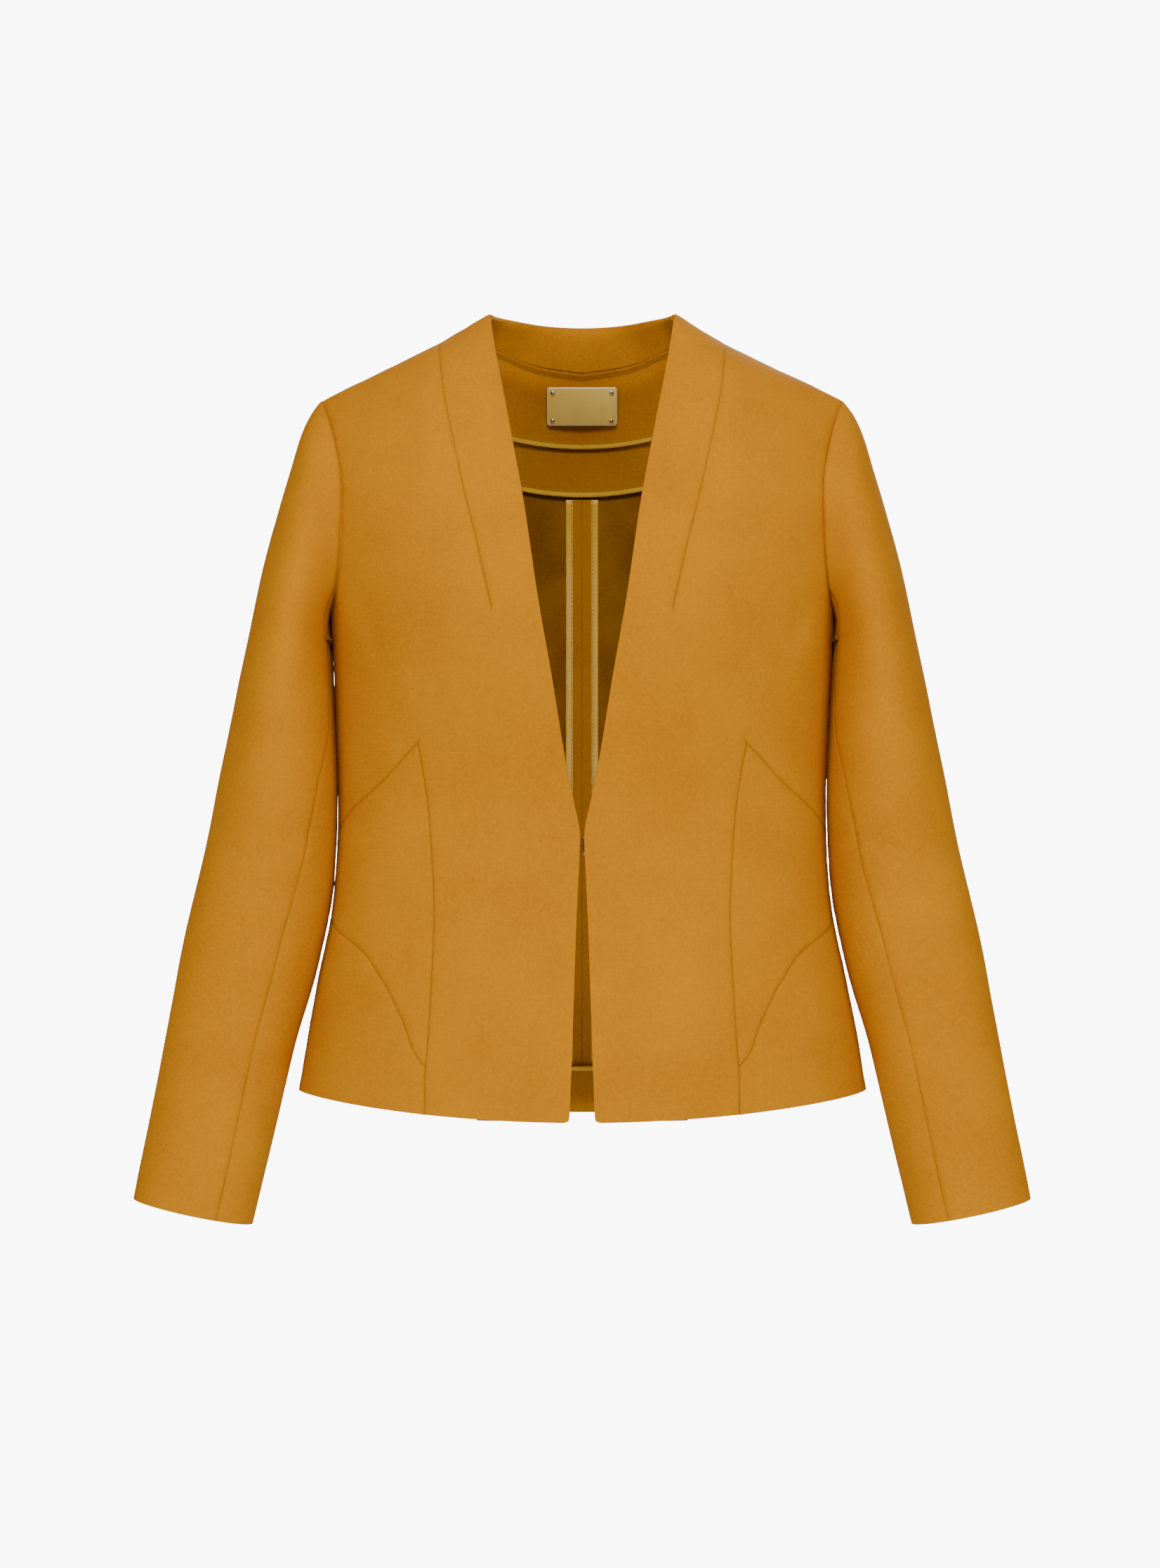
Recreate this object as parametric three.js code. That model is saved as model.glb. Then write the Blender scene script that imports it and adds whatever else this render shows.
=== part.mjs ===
// Collarless tailored jacket, held up as it is on a hanger. Millimetres, +Z up, front towards -Y,
// wearer's right towards -X. The origin is between the two points of the stand neck, where a hanger's
// hook rises.
import * as THREE from 'three';

// ---- overall sizes ----
const neckHalf = 70;            // centre to the point of the stand neck
const shoulderHalf = 196;       // centre to the shoulder point
const shoulderDrop = 66;        // neck point down to the shoulder point
const armholeDepth = 232;       // neck point down to the underarm
const chestHalf = 190;          // half width at the underarm
const waistHalf = 184;
const hemHalf = 218;
const waistLevel = 370;         // neck point down to the waist
const bodyLength = 601;         // neck point down to the hem at centre front
const hemRiseSide = 16;         // how much higher the hem is at the side seam
const hemDropBack = 11;         // how much lower the hem is at centre back
const frontDepth = 114;         // half depth at the bust
const backDepth = 106;          // half depth at the shoulder blades
const bustFullness = 8;

// ---- cloth and layers ----
const cloth = 2.2;              // fused outer cloth
const facingCloth = 1.5;
const seamGap = 1.0;            // between two panels at a seam
const layerGap = 0.8;           // between two layers that lie on each other
const innerGap = 2.2;           // between the outer cloth and the layers inside it
const bindingWidth = 6;
const bindingThick = 2.2;

// ---- front opening ----
const hookLevel = 394;          // bottom of the V neckline
const foldTop = 160;            // where an open front starts to fold back, on the V edge
const foldHemHalf = 100;        // the fold line's distance from centre at the hem
const hemOpenHalf = 9.3;        // half the gap between the fronts at the hem
const frontEdgeFacing = 70;     // width of the front facing
const wireRadius = 0.8;         // hook and eye
const eyeHeight = 14;
const hookHeight = 8;
const hookReach = 11;

// ---- back neck ----
const backNeckDrop = 36;        // neck point down to the neck seam at centre back
const collarStand = 32;         // height of the stand at centre back
const collarSeamHalf = 88;      // where the back neck seam meets the shoulder seam
const neckFacingDepth = 89;     // neck point down to the facing's binding, centre back
const yokeDepth = 127;          // neck point down to the yoke's binding, centre back
const seamAllowance = 7;        // pressed-open allowance beside centre back, up to its binding
const plateWidth = 54;
const plateHeight = 32;
const plateThick = 1.2;
const plateLevel = 57;          // neck point down to the middle of the plate
const rivetRadius = 1.75;
const rivetHeight = 1.3;
const rivetInset = 4.3;

// ---- sleeves ----
const sleeveEnd = 684;          // neck point down to the cuff's inner corner
const sleeveLean = THREE.MathUtils.degToRad(12.2);
const upperArmWidth = 62;
const elbowWidth = 98;
const cuffWidth = 90;
const upperArmHalfDepth = 68;
const elbowHalfDepth = 47;
const cuffHalfDepth = 37;
const cuffForward = 26;         // the cuff hangs this much in front of the shoulder
const sleeveClearance = 1.8;    // between the sleeve and the body's side
const cuffFacingDepth = 38;

// ---- shoulder pads ----
const padInset = 6;             // from the shoulder point to the pad's outer end
const padLength = 76;
const padOuter = shoulderHalf - padInset;
const padInner = padOuter - padLength;
const padHalfDepth = 44;
const padReach = 0.6;           // share of the body's half depth that a pad spans
const padFlatShare = 0.42;      // share of the pad's width that is flat underneath
const padThick = 9;

const sides = { right: -1, left: 1 };
const radians = THREE.MathUtils.degToRad;

// A smooth line through points [at, value]; at rises or falls.
function profile(points) {
  const sorted = [...points].sort((p, q) => p[0] - q[0]);
  const slope = (i) => {
    const a = sorted[Math.max(i - 1, 0)];
    const b = sorted[Math.min(i + 1, sorted.length - 1)];
    return (b[1] - a[1]) / (b[0] - a[0]);
  };
  return (at) => {
    const last = sorted.length - 1;
    if (at <= sorted[0][0]) return sorted[0][1];
    if (at >= sorted[last][0]) return sorted[last][1];
    let i = 0;
    while (at > sorted[i + 1][0]) i += 1;
    const [a, b] = [sorted[i], sorted[i + 1]];
    const width = b[0] - a[0];
    const t = (at - a[0]) / width;
    const t2 = t * t;
    const t3 = t2 * t;
    return (2 * t3 - 3 * t2 + 1) * a[1] + (t3 - 2 * t2 + t) * width * slope(i)
      + (3 * t2 - 2 * t3) * b[1] + (t3 - t2) * width * slope(i + 1);
  };
}

// ---- the body's shape ----
const shoulderLine = profile([
  [0, 22], [neckHalf / 2, 17], [neckHalf, 0], [neckHalf + 38, -22.8],
  [(neckHalf + 38 + shoulderHalf) / 2, -22.8 - (shoulderDrop - 22.8) * 0.5],
  [shoulderHalf, -shoulderDrop], [shoulderHalf + 34, -shoulderDrop - 19],
]);
// A level between underarm and waist, or between waist and hem, as a share of the way down.
const aboveWaist = (share) => -armholeDepth - share * (waistLevel - armholeDepth);
const belowWaist = (share) => -waistLevel - share * (bodyLength - waistLevel);
const halfWidth = profile([
  [0, shoulderHalf + 9], [-shoulderDrop, shoulderHalf + 9], [-armholeDepth * 0.61, shoulderHalf + 7],
  [-armholeDepth * 0.86, chestHalf + 5], [-armholeDepth, chestHalf], [aboveWaist(0.493), waistHalf + 2],
  [-waistLevel, waistHalf], [belowWaist(0.216), waistHalf + 2], [belowWaist(0.372), waistHalf + 6],
  [belowWaist(0.537), hemHalf - 20], [belowWaist(0.723), hemHalf - 12], [belowWaist(0.905), hemHalf - 5],
  [-bodyLength - hemDropBack, hemHalf],
]);
const depthFront = profile([
  [0, frontDepth - 14], [-100, frontDepth - 10], [-armholeDepth + 50, frontDepth - 3],
  [-armholeDepth, frontDepth], [aboveWaist(0.493), frontDepth - 8], [-waistLevel, frontDepth - 20],
  [belowWaist(0.26), frontDepth - 16], [belowWaist(0.567), frontDepth - 6], [-bodyLength, frontDepth + 4],
]);
const depthBack = profile([
  [0, backDepth + 10], [-100, backDepth + 2], [-armholeDepth + 62, backDepth + 2],
  [-armholeDepth, backDepth - 4], [aboveWaist(0.58), backDepth - 14], [-waistLevel, backDepth - 22],
  [belowWaist(0.26), backDepth - 14], [belowWaist(0.567), backDepth + 2],
  [-bodyLength - hemDropBack, backDepth + 12],
]);
const shoulderRoll = 110;       // height over which a shoulder rounds over
const neckRoll = 120;           // the same beside the neck, where it is flatter

// The body's outer surface: around is -90..90 degrees from centre front or back to the side seams.
function bodyPoint(back, around, z) {
  const x = halfWidth(z) * Math.sin(around);
  const below = Math.max(shoulderLine(Math.abs(x)) - z, 0);
  const padded = 1 - Math.min(below / shoulderRoll, 1);
  const round = Math.sqrt(1 - padded * padded);
  const slope = (below / neckRoll) ** 0.7;
  const flat = slope / (1 + slope ** 6) ** (1 / 6);
  const nearShoulder = THREE.MathUtils.smoothstep(Math.abs(x), neckHalf - 10, neckHalf + 50);
  const height = flat + (round - flat) * nearShoulder;
  const depth = back ? depthBack(z) : depthFront(z);
  const bust = back ? 0
    : bustFullness * Math.exp(-(((Math.abs(x) - 88) / 48) ** 2) - ((z + armholeDepth + 13) / 60) ** 2);
  const y = (depth + bust) * Math.cos(around) * height;
  return new THREE.Vector3(x, back ? y : -y, z);
}
const frontSurface = (around, z) => bodyPoint(false, around, z);
const backSurface = (around, z) => bodyPoint(true, around, z);
// Front and back stop half a seam gap short of each other along the shoulder and side seams.
const keepFront = { trim: (point) => { point.y = Math.min(point.y, -seamGap / 2); } };
const keepBack = { trim: (point) => { point.y = Math.max(point.y, seamGap / 2); } };
const bodyCore = (around, z) => new THREE.Vector3(0, 0, Math.min(z, -shoulderDrop) - 60);
const aroundAt = (x, z) => Math.asin(THREE.MathUtils.clamp(x / halfWidth(z), -1, 1));
const hemFront = (around) => -bodyLength + hemRiseSide * (1 - Math.cos(around) ** 2);
const hemBack = (around) => -bodyLength - hemDropBack
  + (hemRiseSide + hemDropBack) * (1 - Math.cos(around) ** 2);

// ---- seam lines: distance from centre against z ----
const vEdge = profile([
  [0, neckHalf], [-33, neckHalf - 5.5], [-99, neckHalf - 18], [-147, neckHalf - 27],
  [-219, neckHalf * 0.46], [-273, neckHalf * 0.325], [-hookLevel + 48, 10.8], [-hookLevel + 10, 2.6],
  [-hookLevel, 1.6], [-hookLevel - 0.295 * (bodyLength - hookLevel), 4.2],
  [-hookLevel - 0.75 * (bodyLength - hookLevel), hemOpenHalf - 1.9], [-bodyLength, hemOpenHalf],
]);
const foldStart = [vEdge(-foldTop), -foldTop];
const foldLine = (z) => foldStart[0]
  + (foldHemHalf - foldStart[0]) * (-z - foldTop) / (bodyLength - foldTop);
const dartLevel = waistLevel - 45;
const sideFrontSeam = profile([
  [-dartLevel, 121], [-waistLevel, 114], [belowWaist(0.216), 110], [belowWaist(0.372), 109],
  [belowWaist(0.554), 110.6], [belowWaist(0.745), 113], [belowWaist(0.857), 115], [-bodyLength, 115],
]);
const hipSeamInner = belowWaist(0.831);     // where the hip seam meets the side-front seam
const hipSeamSide = belowWaist(0.364);      // and the side seam
const waistSeamSide = belowWaist(0.121);    // where the slanted waist seam meets the side seam
// The armhole seam lies this far inside the body's width, from the shoulder point to the underarm.
const armhole = (insets) => profile([
  [-shoulderDrop, shoulderHalf],
  ...insets.map(([level, inset]) => [level, halfWidth(level) - inset]),
  [-armholeDepth, chestHalf],
]);
const armholeFront = armhole([
  [-shoulderDrop - 24, 17.75], [-armholeDepth * 0.53, 24], [-armholeDepth * 0.61, 24],
  [-armholeDepth * 0.755, 18.8], [-armholeDepth * 0.84, 14.2], [-armholeDepth * 0.93, 7.3],
]);
const armholeBack = armhole([
  [-shoulderDrop - 24, 15.75], [-armholeDepth * 0.53, 20], [-armholeDepth * 0.61, 21],
  [-armholeDepth * 0.755, 16.8], [-armholeDepth * 0.84, 11.7], [-armholeDepth * 0.93, 5.3],
]);
const princessTop = -armholeDepth * 0.75;
const backPrincess = profile([
  [princessTop, armholeBack(princessTop)], [-armholeDepth - 10, 142], [aboveWaist(0.507), 118],
  [-waistLevel, 104], [belowWaist(0.476), 112], [-bodyLength, 124],
]);
const backNeck = profile([[0, -backNeckDrop], [collarSeamHalf / 2, -backNeckDrop + 7],
  [collarSeamHalf, shoulderLine(collarSeamHalf)]]);

// ---- building cloth solids ----

// A grid of parameter pairs between four edge lines; each edge runs 0..1 and they share corners.
function grid(top, bottom, inner, outer, across, down, ease = 1) {
  const rows = [];
  const corner = [top(0), top(1), bottom(0), bottom(1)];
  for (let j = 0; j <= down; j += 1) {
    const v = (j / down) ** ease;
    const row = [];
    for (let i = 0; i <= across; i += 1) {
      const u = i / across;
      row.push([0, 1].map((k) => (1 - v) * top(u)[k] + v * bottom(u)[k]
        + (1 - u) * inner(v)[k] + u * outer(v)[k]
        - (1 - u) * (1 - v) * corner[0][k] - u * (1 - v) * corner[1][k]
        - (1 - u) * v * corner[2][k] - u * v * corner[3][k]));
    }
    rows.push(row);
  }
  return rows;
}

// Joins grids that share edges into one list of parameter points and triangles.
function weld(grids, closed) {
  const points = [];
  const seen = new Map();
  const triangles = [];
  const index = (p) => {
    const key = p.map((value) => value.toFixed(5)).join();
    if (!seen.has(key)) {
      seen.set(key, points.length);
      points.push([...p]);
    }
    return seen.get(key);
  };
  for (const rows of grids) {
    const ids = rows.map((row) => row.map(index));
    for (let j = 0; j + 1 < ids.length; j += 1) {
      const width = ids[j].length;
      for (let i = 0; i + 1 < width + (closed ? 1 : 0); i += 1) {
        const k = (i + 1) % width;
        const [a, b, c, d] = [ids[j][i], ids[j][k], ids[j + 1][k], ids[j + 1][i]];
        if (new Set([a, b, c]).size === 3) triangles.push([a, b, c]);
        if (new Set([a, c, d]).size === 3) triangles.push([a, c, d]);
      }
    }
  }
  return { points, triangles };
}

function rimEdges(triangles) {
  const count = new Map();
  for (const t of triangles) {
    for (let i = 0; i < 3; i += 1) count.set(`${t[i]},${t[(i + 1) % 3]}`, true);
  }
  return [...count.keys()].map((key) => key.split(',').map(Number))
    .filter(([a, b]) => !count.has(`${b},${a}`));
}

// Moves the rim of a parameter mesh in by half a seam gap, measured on the surface.
function inset(mesh, surface, amount) {
  const edges = rimEdges(mesh.triangles);
  const moves = new Map();
  const step = 1e-3;
  const place = mesh.points.map(([p, q]) => surface(p, q));
  const third = new Map();
  for (const t of mesh.triangles) {
    for (let i = 0; i < 3; i += 1) third.set(`${t[i]},${t[(i + 1) % 3]}`, t[(i + 2) % 3]);
  }
  for (const [a, b] of edges) {
    const along = place[b].clone().sub(place[a]).normalize();
    const inward = place[third.get(`${a},${b}`)].clone().sub(place[a]);
    inward.addScaledVector(along, -inward.dot(along)).normalize();
    for (const end of [a, b]) {
      if (!moves.has(end)) moves.set(end, []);
      moves.get(end).push(inward);
    }
  }
  for (const [id, list] of moves) {
    const move = list.reduce((sum, v) => sum.add(v), new THREE.Vector3());
    const first = list[0];
    const reach = Math.max(move.dot(first), 0.25 * move.length());
    move.multiplyScalar(amount / Math.max(reach, 1e-6));
    const [p, q] = mesh.points[id];
    const alongP = surface(p + step, q).sub(surface(p - step, q)).divideScalar(2 * step);
    const alongQ = surface(p, q + 1).sub(surface(p, q - 1)).divideScalar(2);
    const pp = alongP.dot(alongP);
    const qq = alongQ.dot(alongQ);
    const pq = alongP.dot(alongQ);
    const det = Math.max(pp * qq - pq * pq, 1e-9);
    const mp = move.dot(alongP);
    const mq = move.dot(alongQ);
    mesh.points[id] = [p + (mp * qq - mq * pq) / det, q + (mq * pp - mp * pq) / det];
  }
}

function outward(surface, core, p, q) {
  const step = 0.004;
  const alongP = surface(p + step, q).sub(surface(p - step, q));
  const alongQ = surface(p, q + 0.5).sub(surface(p, q - 0.5));
  const normal = alongP.cross(alongQ).normalize();
  const away = surface(p, q).sub(core(p, q));
  return normal.dot(away) < 0 ? normal.negate() : normal;
}

// A solid sheet between two depths under a surface, closed round its rim.
function sheetGeometry(grids, surface, core, depthOut, depthIn, options = {}) {
  const { gap = seamGap / 2, closed = false, trim } = options;
  const mesh = weld(grids, closed);
  if (gap > 0) inset(mesh, surface, gap);
  const vertices = [];
  for (const depth of [depthOut, depthIn]) {
    for (const [p, q] of mesh.points) {
      const point = surface(p, q).addScaledVector(outward(surface, core, p, q), -depth);
      if (trim) trim(point);
      vertices.push(point.x, point.y, point.z);
    }
  }
  const n = mesh.points.length;
  const faces = [];
  for (const [a, b, c] of mesh.triangles) faces.push(a, b, c, a + n, c + n, b + n);
  for (const [a, b] of rimEdges(mesh.triangles)) faces.push(b, a, a + n, b, a + n, b + n);
  return solid(vertices, faces);
}

function signedVolume(vertices, faces) {
  const at = (i) => new THREE.Vector3(...vertices.slice(3 * i, 3 * i + 3));
  let volume = 0;
  for (let f = 0; f < faces.length; f += 3) {
    volume += at(faces[f]).dot(at(faces[f + 1]).cross(at(faces[f + 2])));
  }
  return volume / 6;
}

function solid(vertices, faces) {
  const turned = signedVolume(vertices, faces) < 0
    ? faces.map((_, i) => faces[i - (i % 3) + [0, 2, 1][i % 3]]) : faces;
  const geometry = new THREE.BufferGeometry();
  geometry.setAttribute('position', new THREE.Float32BufferAttribute(vertices, 3));
  geometry.setIndex(turned);
  return geometry;
}

// ---- materials ----
const finish = (color, roughness, metalness = 0) => () => new THREE.MeshStandardMaterial(
  { color, roughness, metalness });
const clothMaterial = finish('#cc8307', 0.9);
const liningMaterial = finish('#b5720a', 0.85);
const bindingMaterial = finish('#d29a1c', 0.5);
const wireMaterial = finish('#cfc8b8', 0.3, 1);
const plateMaterial = finish('#e7bb49', 0.4, 0.3);
const paddingMaterial = finish('#e9e2d2', 1);

const jacket = new THREE.Group();

function add(name, geometry, material) {
  const mesh = new THREE.Mesh(geometry, material);
  mesh.name = name;
  jacket.add(mesh);
  return mesh;
}

// ---- edges in surface parameters; side is -1 or 1 ----
const at = (side, x, z) => [aroundAt(side * x, z), z];
const mix = (a, b, t) => a + (b - a) * t;
const downLine = (side, line, from, to) => (t) => at(side, line(mix(from, to, t)), mix(from, to, t));
const sideSeam = (side, from, to) => (t) => [side * Math.PI / 2, mix(from, to, t)];
const shoulderEdge = (side, from, to) => (t) => {
  const x = mix(from, to, t);
  return at(side, x, shoulderLine(x));
};
const straight = (a, b) => (t) => [mix(a[0], b[0], t), mix(a[1], b[1], t)];
const through = (points) => {
  const curve = new THREE.SplineCurve(points.map((p) => new THREE.Vector2(...p)));
  return (t) => curve.getPoint(t).toArray();
};
// Two lines end to end, the first taking share of the way.
const chain = (first, second, share) => (t) => (t < share ? first(t / share)
  : second((t - share) / (1 - share)));

const hemAt = (side, x, hem) => hem(aroundAt(side * x, -bodyLength));

// ---- front panels ----
function addFront(name, side) {
  const dart = at(side, sideFrontSeam(-dartLevel), -dartLevel);
  const sideTop = [side * Math.PI / 2, -dartLevel];
  const waistSide = [side * Math.PI / 2, waistSeamSide];
  const waistSeam = through([dart, at(side, 155, -waistLevel + 11), waistSide]);
  const hipCorner = [aroundAt(side * sideFrontSeam(hipSeamInner), hipSeamInner), hipSeamInner];
  const hipSide = [side * Math.PI / 2, hipSeamSide];
  const hipSeam = through([hipCorner, at(side, 124, belowWaist(0.779)), at(side, 132, belowWaist(0.688)),
    at(side, 147.5, belowWaist(0.563)), at(side, 168, belowWaist(0.4545)), hipSide]);
  const hem = hemFront;
  const seamSteps = 7;        // panels that share a seam step along it alike

  // fixed part: shoulder, chest and the strip beside the fold; a row of the grid meets the underarm
  const rows = 14;
  const rowEase = 1.8;
  const upperShare = (10 / rows) ** rowEase;
  const split = neckHalf + 38;
  const fixedInner = chain(downLine(side, vEdge, 0, -foldTop), downLine(side, foldLine, -foldTop, -dartLevel),
    upperShare);
  const middle = straight(at(side, split, shoulderLine(split)), dart);
  const fixedOuter = chain(downLine(side, armholeFront, -shoulderDrop, -armholeDepth),
    sideSeam(side, -armholeDepth, -dartLevel), upperShare);
  const foldBottom = [aroundAt(side * foldHemHalf, -bodyLength), hemAt(side, foldHemHalf, hem)];
  const seamBottom = [aroundAt(side * sideFrontSeam(-bodyLength), -bodyLength),
    hemAt(side, sideFrontSeam(-bodyLength), hem)];
  const foldDown = (t) => (t < 1 ? at(side, foldLine(mix(-dartLevel, foldBottom[1], t)),
    mix(-dartLevel, foldBottom[1], t)) : foldBottom);
  const seamDown = (from, to) => (t) => {
    const z = mix(from, to[1], t);
    return t < 1 ? at(side, sideFrontSeam(z), z) : to;
  };
  const medial = grid(shoulderEdge(side, neckHalf, split), straight(fixedInner(1), dart), fixedInner, middle,
    4, rows, rowEase);
  const lateral = grid(shoulderEdge(side, split, shoulderHalf), straight(dart, sideTop), middle, fixedOuter,
    seamSteps, rows, rowEase);
  const strip = grid(straight(fixedInner(1), dart), straight(foldBottom, seamBottom), foldDown,
    seamDown(-dartLevel, seamBottom), 4, 9);
  const wedge = grid(straight(dart, sideTop), waistSeam, () => dart, straight(sideTop, waistSide),
    seamSteps, 4);
  add(`${name}_front_yoke_panel`, sheetGeometry([medial, lateral, strip, wedge], frontSurface, bodyCore,
    0, cloth, keepFront), clothMaterial());

  // the part that swings open
  const edgeBottom = [aroundAt(side * hemOpenHalf, -bodyLength), hemAt(side, hemOpenHalf, hem)];
  const startLevel = -foldTop - 12;
  const edgeDown = (t) => (t < 1 ? downLine(side, vEdge, startLevel, edgeBottom[1])(t) : edgeBottom);
  const foldWhole = (t) => (t < 1 ? downLine(side, foldLine, startLevel, foldBottom[1])(t) : foldBottom);
  const flap = grid(straight(edgeDown(0), foldWhole(0)), straight(edgeBottom, foldBottom), edgeDown, foldWhole,
    4, 14);
  add(`${name}_front_opening_panel`, sheetGeometry([flap], frontSurface, bodyCore, 0, cloth), clothMaterial());

  // side front, between the slanted waist seam and the hip seam, and the hip panel under it
  const sideFront = grid(waistSeam, hipSeam, seamDown(-dartLevel, hipCorner), straight(waistSide, hipSide),
    seamSteps, 9);
  add(`${name}_side_front_panel`, sheetGeometry([sideFront], frontSurface, bodyCore, 0, cloth, keepFront),
    clothMaterial());
  const hemSide = [side * Math.PI / 2, hem(side * Math.PI / 2)];
  const hip = grid(hipSeam, straight(seamBottom, hemSide), seamDown(hipSeamInner, seamBottom),
    straight(hipSide, hemSide), seamSteps, 5);
  add(`${name}_hip_panel`, sheetGeometry([hip], frontSurface, bodyCore, 0, cloth, keepFront),
    clothMaterial());

  // facings inside the opening, and the hem turned up inside the hip
  const under = cloth + innerGap;
  const facingEdge = (z) => vEdge(z) + 1.5;
  const facingIn = (z) => Math.min(foldLine(z) - 1, vEdge(z) + frontEdgeFacing);
  const facingTop = startLevel - 24;
  const facingFoot = -bodyLength + 2;
  const facingRow = (z) => straight(at(side, facingEdge(z), z), at(side, facingIn(z), z));
  const lower = grid(facingRow(facingTop), facingRow(facingFoot),
    downLine(side, facingEdge, facingTop, facingFoot),
    downLine(side, facingIn, facingTop, facingFoot), 3, 12);
  add(`${name}_front_facing`, sheetGeometry([lower], frontSurface, bodyCore, under, under + facingCloth),
    liningMaterial());
  const neckIn = profile([[0, neckHalf + 24], [-60, neckHalf + 20], [-foldTop, foldStart[0] + 26]]);
  const edgeTop = shoulderLine(neckHalf + 2) - 12;
  const innerTop = shoulderLine(neckHalf + 24) - 12;
  const upper = grid(straight(at(side, neckHalf + 2, edgeTop), at(side, neckHalf + 24, innerTop)),
    straight(at(side, facingEdge(-foldTop), -foldTop), at(side, neckIn(-foldTop), -foldTop)),
    downLine(side, facingEdge, edgeTop, -foldTop), downLine(side, neckIn, innerTop, -foldTop), 4, 8);
  add(`${name}_neck_front_facing`, sheetGeometry([upper], frontSurface, bodyCore, under + layerGap,
    under + layerGap + facingCloth), liningMaterial());
  const turnUp = 32;
  const alongHem = (raise) => (t) => {
    const around = mix(seamBottom[0], hemSide[0], t);
    return [around, hem(around) + raise];
  };
  const upHem = (around) => (t) => [around, hem(around) + mix(turnUp, 2, t)];
  const hipHem = grid(alongHem(turnUp), alongHem(2), upHem(seamBottom[0]), upHem(hemSide[0]), 10, 1);
  add(`${name}_hip_hem_facing`, sheetGeometry([hipHem], frontSurface, bodyCore, under, under + facingCloth),
    liningMaterial());
}

// ---- back panels ----
function addBack(name, side) {
  const hem = hemBack;
  const top = chain((t) => at(side, mix(0, collarSeamHalf, t), backNeck(mix(0, collarSeamHalf, t))),
    shoulderEdge(side, collarSeamHalf, shoulderHalf), 0.5);
  const princessX = backPrincess(-bodyLength);
  const princessFoot = [aroundAt(side * princessX, -bodyLength), hemAt(side, princessX, hem)];
  const princessDown = (t) => {
    const z = mix(princessTop, princessFoot[1], t);
    return t < 1 ? at(side, backPrincess(z), z) : princessFoot;
  };
  const centre = [0, princessTop];
  const foot = [0, hem(0)];
  const across = 11;
  const seamSteps = 14;       // both panels step along the seam between them alike
  const upper = grid(top, straight(centre, princessDown(0)), straight(top(0), centre),
    downLine(side, armholeBack, -shoulderDrop, princessTop), across, 11, 1.5);
  const lower = grid(straight(centre, princessDown(0)), (t) => {
    const w = mix(foot[0], princessFoot[0], t);
    return [w, hem(w)];
  }, straight(centre, foot), princessDown, across, seamSteps);
  add(`${name}_back_panel`, sheetGeometry([upper, lower], backSurface, bodyCore, 0, cloth, keepBack),
    clothMaterial());

  const sideFoot = [side * Math.PI / 2, hem(Math.PI / 2)];
  const underarm = [side * Math.PI / 2, -armholeDepth];
  const armEdge = (t) => (t < 1 ? downLine(side, armholeBack, princessTop, -armholeDepth)(t) : underarm);
  const sideBack = grid(armEdge, straight(princessFoot, sideFoot), princessDown, straight(underarm, sideFoot),
    5, seamSteps);
  add(`${name}_side_back_panel`, sheetGeometry([sideBack], backSurface, bodyCore, 0, cloth, keepBack),
    clothMaterial());
}

// A strip on the inside of the back: x from inner to outer, z from top(x) to foot(x).
function backStrip(from, to, top, foot, across, down, depthOut, depthIn) {
  const edge = (z) => (t) => {
    const x = mix(from, to, t);
    return at(1, x, z(x));
  };
  const upright = (x) => (t) => at(1, x, mix(top(x), foot(x), t));
  return sheetGeometry([grid(edge(top), edge(foot), upright(from), upright(to), across, down)],
    backSurface, bodyCore, depthOut, depthIn);
}

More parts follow.
